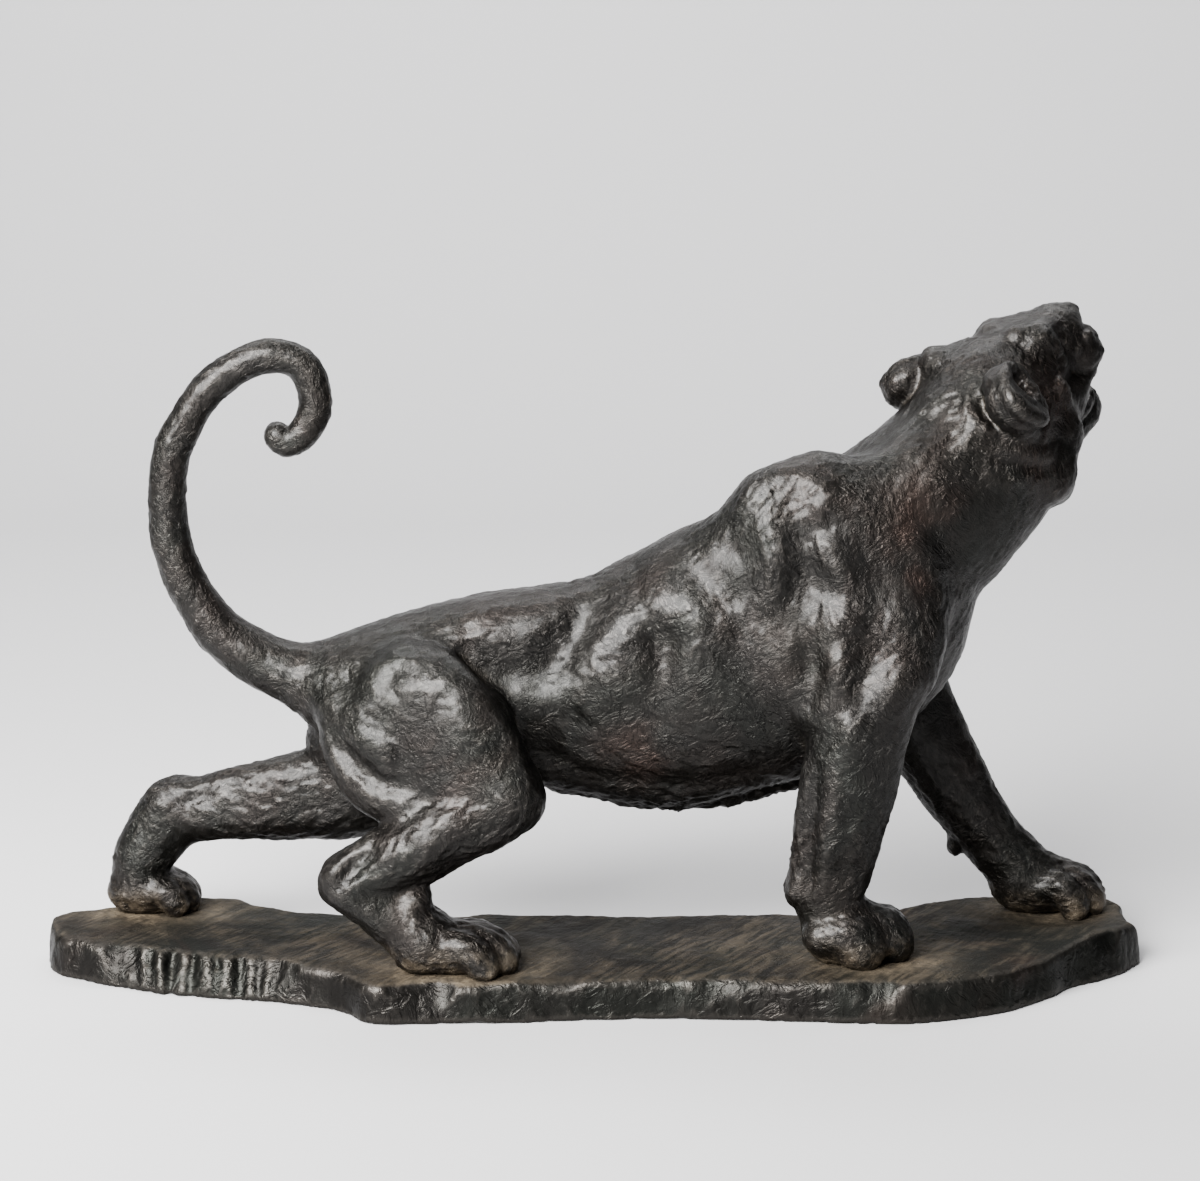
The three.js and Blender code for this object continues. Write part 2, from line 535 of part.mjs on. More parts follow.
// Each point moved along the slope of the distance onto the skin itself
function settle({ points, faces }, clay, step) {
  const e = step * 0.2;
  const at = (x, y, z) => clay.distance(x, y, z, step * 2);
  const settled = points.map(([x, y, z]) => {
    const d = at(x, y, z);
    const slope = [at(x + e, y, z) - d, at(x, y + e, z) - d, at(x, y, z + e) - d].map((v) => v / e);
    const k = -d / Math.max(dot(slope, slope), 0.15);
    const hold = Math.min(1, step * 0.3 / Math.max(Math.abs(k) * Math.hypot(...slope), 1e-9));
    return [x, y, z].map((v, i) => v + slope[i] * k * hold);
  });
  return { points: settled, faces };
}

// Fewer, larger facets: the edge whose loss changes the form least is closed up first
function thin({ points, faces }, target) {
  const around = points.map(() => new Set());
  faces.forEach((face, i) => face.forEach((v) => around[v].add(i)));
  const form = points.map(() => new Float64Array(10));
  for (const [a, b, c] of faces) {
    const normal = cross(minus(points[b], points[a]), minus(points[c], points[a]));
    const area = Math.hypot(...normal);
    if (area < 1e-9) continue;
    const [x, y, z] = normal.map((v) => v / area);
    const w = -dot([x, y, z], points[a]);
    const terms = [x * x, x * y, x * z, x * w, y * y, y * z, y * w, z * z, z * w, w * w];
    for (const v of [a, b, c]) terms.forEach((t, i) => { form[v][i] += t * area; });
  }
  const error = (q, [x, y, z]) => q[0] * x * x + 2 * q[1] * x * y + 2 * q[2] * x * z + 2 * q[3] * x
    + q[4] * y * y + 2 * q[5] * y * z + 2 * q[6] * y + q[7] * z * z + 2 * q[8] * z + q[9];
  const best = (a, b) => {
    const q = form[a].map((v, i) => v + form[b][i]);
    const [p, r] = [points[a], points[b]];
    const middle = p.map((v, i) => (v + r[i]) / 2);
    const det = q[0] * (q[4] * q[7] - q[5] * q[5]) - q[1] * (q[1] * q[7] - q[5] * q[2])
      + q[2] * (q[1] * q[5] - q[4] * q[2]);
    let place = middle;
    if (Math.abs(det) > 1e-3 * (q[0] + q[4] + q[7]) ** 3 / 27) {
      const m = new THREE.Matrix3().set(q[0], q[1], q[2], q[1], q[4], q[5], q[2], q[5], q[7]).invert();
      const solved = new THREE.Vector3(-q[3], -q[6], -q[8]).applyMatrix3(m).toArray();
      if (Math.hypot(...minus(solved, middle)) < 1.5 * Math.hypot(...minus(p, r))) place = solved;
    }
    const length = Math.hypot(...minus(p, r));
    return { cost: error(q, place) + 0.002 * length ** 3, place, q };
  };
  const heap = [];
  const push = (item) => {
    let i = heap.push(item) - 1;
    while (i > 0) {
      const up = (i - 1) >> 1;
      if (heap[up].cost <= heap[i].cost) break;
      [heap[up], heap[i]] = [heap[i], heap[up]];
      i = up;
    }
  };
  const pop = () => {
    const top = heap[0];
    const end = heap.pop();
    if (heap.length) {
      heap[0] = end;
      let i = 0;
      for (;;) {
        let low = 2 * i + 1;
        if (low >= heap.length) break;
        if (low + 1 < heap.length && heap[low + 1].cost < heap[low].cost) low += 1;
        if (heap[i].cost <= heap[low].cost) break;
        [heap[i], heap[low]] = [heap[low], heap[i]];
        i = low;
      }
    }
    return top;
  };
  const stamp = new Int32Array(points.length);
  const offer = (a, b) => push({ ...best(a, b), a, b, ta: stamp[a], tb: stamp[b] });
  const ringOf = (v) => {
    const ring = new Set();
    for (const i of around[v]) for (const w of faces[i]) if (w !== v) ring.add(w);
    return ring;
  };
  for (let v = 0; v < points.length; v++) for (const w of ringOf(v)) if (v < w) offer(v, w);
  let count = faces.length;
  while (count > target && heap.length) {
    const { a, b, ta, tb, place, q } = pop();
    if (stamp[a] !== ta || stamp[b] !== tb) continue;
    const ringA = ringOf(a);
    const ringB = ringOf(b);
    const shared = [...ringA].filter((v) => ringB.has(v));
    if (shared.length !== 2 || shared.some((v) => around[v].size < 4)) continue;
    let sound = true;
    for (const v of [a, b]) {
      for (const i of around[v]) {
        const face = faces[i];
        if (face.includes(a) && face.includes(b)) continue;
        const old = face.map((w) => points[w]);
        const now = face.map((w) => (w === v ? place : points[w]));
        const before = cross(minus(old[1], old[0]), minus(old[2], old[0]));
        const after = cross(minus(now[1], now[0]), minus(now[2], now[0]));
        const size = Math.hypot(...before) * Math.hypot(...after);
        if (dot(before, after) < 0.35 * size || Math.hypot(...after) < 0.02) sound = false;
      }
    }
    if (!sound) continue;
    for (const i of [...around[b]]) {
      const face = faces[i];
      if (face.includes(a)) {
        face.forEach((w) => around[w].delete(i));
        faces[i] = null;
        count -= 1;
      } else {
        face[face.indexOf(b)] = a;
        around[a].add(i);
      }
    }
    around[b].clear();
    points[a] = place;
    form[a] = q;
    stamp[a] += 1;
    stamp[b] = -1;
    for (const v of ringOf(a)) offer(Math.min(a, v), Math.max(a, v));
  }
  return { points, faces: faces.filter(Boolean) };
}

function toSolid({ points, faces }) {
  const renamed = new Map();
  const vertices = [];
  const triangles = [];
  for (const face of faces) {
    for (const v of face) {
      if (!renamed.has(v)) {
        renamed.set(v, renamed.size);
        vertices.push(...points[v]);
      }
      triangles.push(renamed.get(v));
    }
  }
  const mesh = new wasm.Mesh({
    numProp: 3, vertProperties: new Float32Array(vertices), triVerts: new Uint32Array(triangles),
  });
  return new wasm.Manifold(mesh);
}

function toGeometry(solid, shiftY) {
  const { vertProperties, triVerts } = solid.getMesh();
  const geometry = new THREE.BufferGeometry();
  geometry.setAttribute('position', new THREE.BufferAttribute(new Float32Array(vertProperties), 3));
  geometry.setIndex(new THREE.BufferAttribute(new Uint32Array(triVerts), 1));
  geometry.translate(0, shiftY, 0);
  return geometry;
}

// Height of the base's top: gently uneven, higher at the right end
function baseTop(x, y) {
  const lobe = THREE.MathUtils.smoothstep(x, 205, 240) * THREE.MathUtils.smoothstep(-y, -38, 10);
  const waves = Math.sin(x / 47 + 1.3) * Math.cos(y / 31 - 0.4);
  return BASE_HEIGHT + BASE_RIGHT_RISE * lobe + 0.6 * waves;
}

// The base is a row of closed sections along X with a flat underside
function modelBase() {
  const rows = chain(BASE_EDGE, 3).filter((row, i, all) => i === 0 || row[0] > all[i - 1][0]);
  const stations = [];
  for (let x = -BASE_LENGTH / 2; x <= BASE_LENGTH / 2 + 0.01; x += BASE_STEP) {
    const i = Math.min(Math.max(rows.findIndex((row) => row[0] >= x - 1e-6), 1), rows.length - 1);
    const [p, q] = [rows[i - 1], rows[i]];
    const t = (x - p[0]) / (q[0] - p[0]);
    stations.push([x, p[1] + (q[1] - p[1]) * t, p[2] + (q[2] - p[2]) * t]);
  }
  const across = [0, 0.09, 0.27, 0.5, 0.73, 0.91, 1];
  const points = [];
  for (const [x, front, back] of stations) {
    const top = x * (1 - 2 * BASE_DRAFT / BASE_LENGTH);
    const [f, b] = [front + BASE_DRAFT, back - BASE_DRAFT];
    points.push([x, front, 0], [top, f - 0.6, BASE_HEIGHT - 3]);
    for (const t of across) {
      const y = f + 1.5 + (b - f - 3) * t;
      points.push([top, y, baseTop(x, y) - (t === 0 || t === 1 ? 1 : 0)]);
    }
    points.push([top, b + 0.6, BASE_HEIGHT - 3], [x, back, 0]);
  }
  const ring = across.length + 4;
  const faces = [];
  for (let s = 0; s + 1 < stations.length; s++) {
    for (let k = 0; k < ring; k++) {
      const [a, b] = [s * ring + k, s * ring + (k + 1) % ring];
      faces.push([a, b, b + ring], [a, b + ring, a + ring]);
    }
  }
  const last = (stations.length - 1) * ring;
  for (let k = 1; k + 1 < ring; k++) {
    faces.push([0, k + 1, k], [last, last + k, last + k + 1]);
  }
  const [a, b, c] = faces[0].map((v) => points[v]);
  const outward = cross(minus(b, a), minus(c, a));
  if (outward[1] > 0) faces.forEach((face) => face.reverse());
  return { points, faces };
}

function bronze(name, geometry, color, roughness) {
  geometry.computeVertexNormals();
  const mesh = new THREE.Mesh(geometry, new THREE.MeshStandardMaterial({ color, roughness, metalness: 0.9 }));
  mesh.name = name;
  return mesh;
}

const baseForm = modelBase();
const baseSolid = toSolid(baseForm);
const bed = toSolid({
  points: baseForm.points.map(([x, y, z]) => [x, y, z + BEDDING_GAP]),
  faces: baseForm.faces,
});
const baseBox = new THREE.Box3().setFromPoints(baseForm.points.map((p) => new THREE.Vector3(...p)));
const centring = -(baseBox.min.y + baseBox.max.y) / 2; // the forms are laid out from the trunk's own plane
const clay = modelTiger();
const skin = settle(skinOf(clay, [-240, -75, 8], [260, 82, 312], MODEL_STEP), clay, MODEL_STEP);
const tigerSolid = toSolid(thin(skin, TIGER_FACES)).subtract(bed);

const sculpture = new THREE.Group();
sculpture.add(bronze('tiger', toGeometry(tigerSolid, centring), 0x2a2623, 0.4));
sculpture.add(bronze('base', toGeometry(baseSolid, centring), 0x2d2925, 0.5));

export default sculpture;
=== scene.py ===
"""A prowling tiger with its head thrown back, cast in bronze on a cast base shaped like a slab of rock.

The clay is worked in millimetres: strands and eggs join softly, muscles are laid on the skin, and the closed
skin is made a mesh in metres. +X points towards the head, +Y to the tiger's left, +Z up.
"""

import math

import bmesh
import bpy
import numpy as np
from bpy.props import FloatProperty, FloatVectorProperty, IntProperty, PointerProperty
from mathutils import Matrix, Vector, kdtree


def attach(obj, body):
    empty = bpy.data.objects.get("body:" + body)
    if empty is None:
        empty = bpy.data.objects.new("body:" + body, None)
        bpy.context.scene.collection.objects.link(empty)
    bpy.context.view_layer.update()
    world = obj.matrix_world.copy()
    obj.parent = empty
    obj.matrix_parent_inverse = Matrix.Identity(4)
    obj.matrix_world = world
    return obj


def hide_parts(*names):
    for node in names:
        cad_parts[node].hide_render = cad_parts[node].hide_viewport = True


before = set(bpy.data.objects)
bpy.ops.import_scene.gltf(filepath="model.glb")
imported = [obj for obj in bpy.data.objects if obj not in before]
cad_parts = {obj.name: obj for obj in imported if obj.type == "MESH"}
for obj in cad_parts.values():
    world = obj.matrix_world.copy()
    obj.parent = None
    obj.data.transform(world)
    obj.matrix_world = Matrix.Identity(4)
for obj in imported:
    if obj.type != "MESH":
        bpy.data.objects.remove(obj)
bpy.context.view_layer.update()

bl_info = {
    "name": "Tiger Sculpture",
    "version": (1, 0, 0),
    "blender": (4, 5, 0),
    "location": "3D View > Sidebar > Tiger",
    "description": "Models a cast bronze tiger on its base, with a pale studio round it",
    "category": "Add Mesh",
}

MM = 0.001

# Base, as in the CAD part but for a sharper notch corner. The rows are x, front edge and back edge at the
# foot of the wall
BASE_HEIGHT = 18
BASE_RIGHT_RISE = 4
BASE_DRAFT = 3
BASE_EDGE = [
    (-255, 21, 34), (-247, 4, 44), (-228, -10, 56), (-200, -24, 67), (-175, -30, 66), (-157, -34, 55),
    (-140, -37, 49), (-126, -42, 46), (-111, -50, 43), (-96, -64.5, 41), (-68, -65, 38), (-34, -63, 42),
    (6, -59, 39), (54, -59, 38), (96, -62, 41), (130, -65, 48), (155, -62, 56), (182, -50, 67),
    (205, -33, 73), (218, -18, 74), (232, -8, 72), (246, 5, 66), (255, 20, 52),
]

# Tiger, as in the CAD part
GROUND = 17.5
BODY_Y = 3
NECK_SIDE = 36
HEAD_CENTRE = np.array([180.0, 14.0, 256.0])
HEAD_SIZE = 1.13
HEAD_RIGHT = np.array([0.640, -0.768, 0.010])
HEAD_FORWARD = np.array([0.625, 0.528, 0.574])
FAR_SHOULDER_SHIFT = (16, -9)

# Working of the clay in millimetres. FAR_OFF is a distance beyond every lump. A muscle's lines look for the
# skin from SEARCH_FROM to SEARCH_TO and break off where it jumps. Points of the base under FLAT_UNDER lie on
# the ground.
FAR_OFF = 1000.0
POINTS_AT_ONCE = 4096
EDGE_POINTS_AT_ONCE = 20000
SEARCH_FROM, SEARCH_TO, SEARCH_STEP = 95, -62, 0.5
SEARCH_BAND = 20
SKIN_JUMP = 20
SWELL_REACH = 30
TIGER_ROOM = ((-240, -75, 8), (260, 82, 312))
BASE_ROOM = ((-259, -69, -3), (259, 78, 27))
FLAT_UNDER = 0.6

# Tool strokes: least and most length and half width in millimetres, and how far they swing, in radians
STROKE_LENGTH = (3.2, 6.5)
STROKE_WIDTH = (1.3, 2.3)
STROKE_SWING = 0.35
STROKE_WEIGHT = (0.5, 1.1)

# Only strands that start thicker than this guide the lie of the hair
BONE_THICKNESS = 6.1

# Camera: its pitch in degrees, how many metres away it is, the place in millimetres that it looks at, and the
# lens as it was found in the photo, in pixels
CAMERA_PITCH = 12
CAMERA_AWAY = 1.4
CAMERA_AIM = (3.5, -22, 187)
SENSOR_WIDTH = 36
IMAGE_WIDTH = 1200
LENS_IN_PIXELS = 3165


# Clay

def smooth_chain(rows, steps):
    """A smooth curve through rows of numbers, a few steps to each span."""
    p = np.array(rows, float)
    if len(p) == 2:
        return p
    full = np.concatenate([[2 * p[0] - p[1]], p, [2 * p[-1] - p[-2]]])
    out = []
    for a, b, c, d in zip(full, full[1:], full[2:], full[3:]):
        for t in np.arange(steps) / steps:
            out.append(0.5 * (2 * b + (c - a) * t + (2 * a - 5 * b + 4 * c - d) * t**2
                              + (3 * b - a - 3 * c + d) * t**3))
    out.append(p[-1])
    return np.array(out)


def unit(v):
    """The vector at length 1."""
    v = np.asarray(v, float)
    return v / np.linalg.norm(v)


class Clay:
    """Lumps added to or scraped from one another with soft joins."""

    def __init__(self):
        self.lumps = []
        self.swells = []

    def strand(self, rows, blend, steps=3, side=(0, 1, 0), cut=False):
        """A chain of oval sections: x, y, z, radius in its plane, radius sideways."""
        p = smooth_chain([r if len(r) == 5 else (*r, r[-1]) for r in rows], steps)
        parts = []
        for a, b in zip(p, p[1:]):
            length = np.linalg.norm(b[:3] - a[:3])
            along = (b[:3] - a[:3]) / length
            s = unit(np.array(side, float) - (np.array(side, float) @ along) * along)
            parts.append((a, b, length, along, s, np.cross(along, s)))
        centre = p[:, :3].mean(0)
        reach = max(np.linalg.norm(r[:3] - centre) + max(r[3:]) for r in p)
        self.lumps.append((parts, centre, reach, float(blend), cut))

    def egg(self, centre, radii, blend, axes=None, cut=False):
        """An ellipsoid; the rows of axes are its own directions."""
        shape = (np.array(radii, float), np.eye(3) if axes is None else np.array(axes, float))
        self.lumps.append((shape, np.array(centre, float), max(radii), float(blend), cut))

    def distance(self, points, band, bare=False):
        """Distance to the skin, below zero inside; a lump further off than the band is passed over."""
        order = np.argsort(points[:, 0], kind="stable")
        out = np.full(len(points), FAR_OFF)
        for block in np.array_split(order, len(order) // POINTS_AT_ONCE + 1):
            p = points[block]
            low, high = p.min(0), p.max(0)
            d = np.full(len(p), FAR_OFF)
            for shape, centre, reach, blend, cut in self.lumps:
                far = (reach + blend + band) ** 2
                if ((np.clip(centre, low, high) - centre) ** 2).sum() > far:
                    continue
                near = np.flatnonzero(((p - centre) ** 2).sum(1) < far)
                if not len(near):
                    continue
                q = p[near]
                e = strand_distance(q, shape) if isinstance(shape, list) else egg_distance(q - centre, *shape)
                d[near] = soft_cut(d[near], -e, blend) if cut else soft_join(d[near], e, blend)
            for line, start, end in [] if bare else self.swells:
                if (low > end).any() or (high < start).any():
                    continue
                near = np.flatnonzero(((p > start) & (p < end)).all(1))
                if len(near):
                    d[near] -= swelling(p[near], line)
            out[block] = d
        return out

    def skin(self, places, side):
        """Where lines along Y first meet the skin, seen from one side: y at each x and z."""
        depth = np.arange(SEARCH_FROM, SEARCH_TO, -SEARCH_STEP)
        probe = np.empty((len(places), len(depth), 3))
        probe[:, :, 0] = places[:, 0:1]
        probe[:, :, 1] = side * depth
        probe[:, :, 2] = places[:, 1:2]
        d = self.distance(probe.reshape(-1, 3), SEARCH_BAND, bare=True).reshape(len(places), -1)
        first = np.argmax(d < 0, axis=1)
        return np.where((d < 0).any(1), side * depth[first], np.nan)

    def muscles(self, rows, side, shift=(0, 0)):
        """Swellings and hollows laid on the skin of the lumps: x, z, width, rise."""
        flat = np.array([(x + shift[0], z + shift[1]) for row in rows for x, z, _, _ in row], float)
        found = iter(self.skin(flat, side))
        for row in rows:
            points = []
            for x, z, width, rise in row:
                y = next(found)
                if not np.isnan(y) and (not points or abs(points[-1][1] - y) < SKIN_JUMP):
                    points.append((x + shift[0], y, z + shift[1], width, rise))
            if len(points) > 1:
                line = smooth_chain(points, 3)
                middle = line[:, :3]
                self.swells.append((line, middle.min(0) - SWELL_REACH, middle.max(0) + SWELL_REACH))


def soft_join(a, b, blend):
    """The nearer of two skins, rounded where they meet."""
    return np.minimum(a, b) - np.maximum(blend - np.abs(a - b), 0) ** 2 / (4 * blend)


def soft_cut(a, b, blend):
    """The further of two skins, rounded where they meet."""
    return np.maximum(a, b) + np.maximum(blend - np.abs(a - b), 0) ** 2 / (4 * blend)


def strand_distance(points, parts):
    """Distance to a chain of oval sections."""
    best = np.full(len(points), 1e9)
    for a, b, length, along, s, n in parts:
        q = points - a[:3]
        u = q @ along
        k = np.clip(u / length, 0, 1)
        rn = a[3] + (b[3] - a[3]) * k
        rs = a[4] + (b[4] - a[4]) * k
        rt = np.minimum(rn, rs)
        t2, s2, n2 = (u - k * length) ** 2, (q @ s) ** 2, (q @ n) ** 2
        k0 = np.sqrt(t2 / rt**2 + s2 / rs**2 + n2 / rn**2) + 1e-9
        k1 = np.sqrt(t2 / rt**4 + s2 / rs**4 + n2 / rn**4) + 1e-9
        best = np.minimum(best, k0 * (k0 - 1) / k1)
    return best


def egg_distance(q, radii, axes):
    """Distance to an ellipsoid round the origin."""
    q = q @ axes.T
    k0 = np.sqrt(((q / radii) ** 2).sum(1))
    k1 = np.sqrt(((q / radii**2) ** 2).sum(1)) + 1e-9
    return k0 * (k0 - 1) / k1


def swelling(points, line):
    """Soft rise round a line laid on the skin, from the nearest point of the line."""
    best = np.full(len(points), 1e9)
    width = np.ones(len(points))
    rise = np.zeros(len(points))
    for a, b in zip(line, line[1:]):
        ab = b[:3] - a[:3]
        k = np.clip((points - a[:3]) @ ab / max(ab @ ab, 1e-9), 0, 1)
        away = ((points - a[:3] - k[:, None] * ab) ** 2).sum(1)
        closer = away < best
        best = np.where(closer, away, best)
        width = np.where(closer, a[3] + (b[3] - a[3]) * k, width)
        rise = np.where(closer, a[4] + (b[4] - a[4]) * k, rise)
    return rise * np.exp(-best / width**2)


# Tiger forms

def add_trunk(clay):
    """Body, deep chest and the fringe under the belly."""
    y = BODY_Y
    clay.strand([
        (-126, y, 137, 14, 17), (-108, y, 136, 24, 27), (-86, y, 138, 31, 32), (-60, y, 139, 38, 32),
        (-36, y, 137, 43, 29), (0, y, 137, 50, 32), (32, y, 140, 59, 38), (58, y, 149, 61, 42),
        (92, y, 160, 62, 42), (118, y, 176, 57, 39), (132, y, 188, 46, 33),
    ], 6, steps=4)
    clay.strand([(124, y, 166, 31, 30), (138, y, 170, 24, 22)], 8)
    fringe = ((-16, 94), (8, 89), (32, 86), (62, 87), (92, 95))
    clay.strand([(x, y, z, 6, 5) for x, z in fringe], 3)


def add_neck(clay):
    clay.strand([
        (118, 3, 190, 46, NECK_SIDE + 2), (140, 4, 210, 43, NECK_SIDE + 1),
        (161, 8, 230, 40, NECK_SIDE), (171, 11, 242, 38, NECK_SIDE - 1),
    ], 8)
    clay.strand([(166, 8, 206, 22, 24), (186, 12, 226, 20, 22)], 8)


def add_shoulders(clay):
    clay.strand([(44, -4, 190, 14, 14), (62, -10, 205, 14, 13), (78, -15, 222, 13, 12)], 16)
    clay.strand([(68, -18, 200, 13, 11), (82, -20, 224, 17, 14), (100, -18, 235, 14, 13)], 14)
    clay.egg((114, -18, 222), (18, 12, 18), 14)
    clay.strand([(106, -20, 220, 16, 12), (126, -22, 224, 18, 12), (146, -18, 234, 18, 12)], 14)
    clay.strand([(92, -28, 214, 20, 8), (114, -33, 194, 22, 9), (132, -35, 174, 20, 11),
                 (131, -38, 155, 20, 13)], 16)
    clay.strand([(84, -26, 198, 16, 6), (94, -32, 170, 18, 8), (105, -38, 142, 15, 12)], 16)
    clay.strand([(60, 12, 192, 14, 14), (78, 18, 202, 14, 13), (94, 22, 214, 13, 12)], 16)
    clay.strand([(84, 25, 194, 13, 11), (97, 27, 214, 17, 14), (114, 26, 224, 14, 12)], 14)
    clay.egg((128, 25, 212), (18, 12, 18), 14)
    clay.strand([(120, 27, 210, 16, 12), (138, 27, 216, 18, 12), (152, 26, 226, 16, 12)], 14)
    clay.strand([(108, 34, 206, 20, 8), (122, 40, 190, 22, 9), (142, 40, 170, 20, 12)], 16)
    clay.strand([(90, 34, 190, 16, 6), (104, 41, 165, 18, 9), (128, 46, 136, 17, 12)], 16)


def add_paw(clay, heel, turn, length, wide, high, toes):
    """A paw from its heel forwards: a flat core and toes, each a knuckle and a blunt tip."""
    a = math.radians(turn)
    forward = np.array([math.cos(a), math.sin(a)])
    side = np.array([-math.sin(a), math.cos(a)])

    def at(along, across, up, *radii):
        x, y = np.array(heel) + forward * along * length + side * across * wide / 2
        return (x, y, GROUND + up * high, *radii)

    clay.strand([
        at(0.1, 0, 0.5, high * 0.5, wide * 0.42), at(0.42, 0, 0.5, high * 0.5, wide * 0.44),
        at(0.64, 0, 0.4, high * 0.4, wide * 0.4),
    ], 6, side=(*side, 0))
    for across, reach, size in toes:
        r = wide * 0.15 * size
        clay.strand([
            at(reach - 0.56, across * 0.7, 0.56, r * 0.9, r),
            at(reach - 0.34, across * 0.96, 0.62, r * 1.15, r * 1.1),
            at(reach - 0.2, across * 1.02, 0.42, r * 1.2, r * 1.15),
            at(reach - 0.15, across, r / high, r * 1.1, r * 1.1),
        ], 2.5, side=(*side, 0))


def add_forelegs(clay):
    clay.strand([
        (146, 30, 188, 18, 8), (142, 39, 170, 20, 13), (140, 45, 146, 24, 14), (145, 45, 124, 22, 15),
        (156, 44, 103, 20, 15), (171, 44, 78, 17, 14.5), (186, 46, 56, 14.5, 14), (196, 47, 45, 14.5, 14.5),
        (205, 47, 36, 14, 15),
    ], 9)
    clay.egg((171, 45, 50), (3.5, 4, 5), 3)
    add_paw(clay, (197, 47), -4, 47, 34, 26,
            ((-0.76, 0.8, 1.2), (-0.26, 0.98, 1.1), (0.24, 1, 1.1), (0.7, 0.86, 1.1)))
    clay.strand([
        (138, -25, 186, 20, 7), (133, -32, 170, 21, 12), (127, -37, 156, 21, 13.5), (122, -40, 142, 22, 14),
        (118, -40, 124, 21, 15), (114, -38, 101, 21, 15.5), (110, -35, 77, 19, 15), (107, -32, 62, 18, 15),
        (106, -30, 49, 16, 15), (111, -30, 37, 15, 15),
    ], 9)
    clay.egg((93, -30, 52), (6.5, 8, 8), 6)
    add_paw(clay, (104, -30), 8, 45, 36, 27,
            ((-0.66, 0.5, 1.75), (-0.16, 0.86, 1.35), (0.3, 0.94, 1.2), (0.74, 0.82, 1.1)))


def add_hindlegs(clay):
    clay.strand([(-90, 28, 130, 29, 16), (-99, 33, 116, 33, 17), (-107, 37, 98, 28, 17)], 6)
    clay.strand([
        (-96, 38, 84, 20, 15), (-112, 38, 79, 23, 15), (-136, 39, 76, 21, 14), (-160, 40, 72, 17.5, 13),
        (-180, 41, 69, 15, 12), (-194, 43, 68, 16, 12),
    ], 5)
    clay.strand([(-196, 43, 68, 16, 12), (-206, 44, 55, 15, 12.5), (-213, 45, 42, 14, 14),
                 (-213, 45, 32, 13, 14)], 3)
    add_paw(clay, (-222, 46), 4, 36, 33, 21,
            ((-0.74, 0.84, 1.1), (-0.26, 1, 1.1), (0.24, 1, 1.1), (0.7, 0.86, 1.1)))
    clay.strand([(-92, -24, 136, 31, 16), (-76, -31, 126, 37, 17), (-57, -36, 112, 32, 17),
                 (-42, -39, 98, 23, 16)], 6)
    clay.strand([(-104, -19, 130, 19, 13), (-105, -24, 114, 15, 13), (-97, -30, 100, 13, 13),
                 (-83, -36, 94, 12, 13)], 6)
    clay.strand([
        (-36, -40, 98, 17, 15), (-48, -41, 90, 17, 15.5), (-64, -42, 83, 17, 15), (-82, -42, 72, 16.5, 14),
        (-98, -42, 64, 15, 12), (-108, -42, 59, 13.5, 11.5),
    ], 5)
    clay.strand([(-109, -42, 59, 13, 11.5), (-99, -42, 51, 12.5, 12), (-87, -42, 42, 13, 13),
                 (-76, -42, 35, 14, 15)], 3)
    clay.egg((-79, -42, 52), (8, 11, 8), 4)
    add_paw(clay, (-83, -42), 0, 54, 35, 23,
            ((-0.66, 0.8, 1.2), (-0.24, 0.95, 1.2), (0.24, 0.98, 1.1), (0.7, 0.88, 1.1)))


def add_tail(clay):
    line = [
        (-98, 147, 16), (-126, 143, 14), (-140, 145, 13.5), (-154, 152, 12.3), (-168, 162.5, 11),
        (-177, 175, 9.8), (-184, 188, 9.3), (-189, 204, 9), (-190, 218, 8.6), (-190, 232, 8.4),
        (-187, 247, 8.2), (-180, 260, 8.1), (-172, 272, 8), (-161, 281, 7.9), (-149, 287, 7.8),
        (-139, 288, 7.7), (-130, 285, 7.6), (-125, 278, 7.5), (-123, 268, 7.4), (-125, 259, 7.2),
        (-130, 252, 7), (-136, 249, 6.6), (-140, 252, 6.2),
    ]
    clay.strand([(x, BODY_Y, z, r, r) for x, z, r in line], 6, steps=2)


# Swellings and hollows of the skin: x, z, width, rise (below zero sinks in)
SHOULDER_MUSCLES = [
    [(64, 219, 6, 0.5), (66, 225, 7, 2), (70, 233, 7, 2), (77, 238, 7, 1.5)],
    [(86, 241, 7, 1.5), (96, 237, 7, 2), (103, 229, 7, 1.5)],
    [(75, 216, 8, 2.5), (81, 208, 8, 4), (80, 196, 7, 3.5), (77, 186, 6, 1.5)],
    [(83, 218, 5, -0.5), (91, 215, 5.5, -1.5), (99, 215, 5.5, -1.5), (107, 220, 6, -0.5)],
    [(96, 214, 6, 1.5), (103, 209, 7, 4.5), (109, 201, 7, 4.5), (115, 193, 6, 1.5)],
    [(89, 206, 8, -1.5), (92, 195, 10, -3), (94, 182, 9, -1.5)],
    [(117, 205, 9, -0.8), (124, 195, 9, -1.2), (125, 183, 8, -0.8)],
    [(136, 220, 6, 1), (142, 210, 7, 3.5), (148, 200, 7, 3.5), (152, 188, 6, 1.5)],
]
ARM_MUSCLES = [
    [(101, 174, 8, 1.5), (111, 179, 9, 4), (121, 175, 8, 2)],
    [(107, 171, 9, 3), (108, 162, 7.5, 5), (108, 152, 5.5, 2)],
    [(96, 171, 6, -1.5), (95, 158, 6.5, -3), (94, 143, 6, -2.5)],
    [(122, 168, 8, -1.5), (119, 157, 8, -2.8), (115, 145, 7, -1.5)],
    [(141, 161, 7, 1), (135, 150, 9, 2.2), (129, 140, 8, 2.4), (125, 133, 6, 1)],
    [(111, 140, 7, 1), (113, 131, 8, 3.2), (112, 120, 7, 1.5)],
    [(108, 113, 10, 1.5), (111, 95, 10, 2), (109, 74, 8, 1.5)],
    [(126, 118, 8, -1), (127, 99, 7, -1.5), (124, 80, 6, -1)],
    [(127, 186, 8, 1), (134, 180, 8, 2), (137, 172, 8, 1.5)],
]
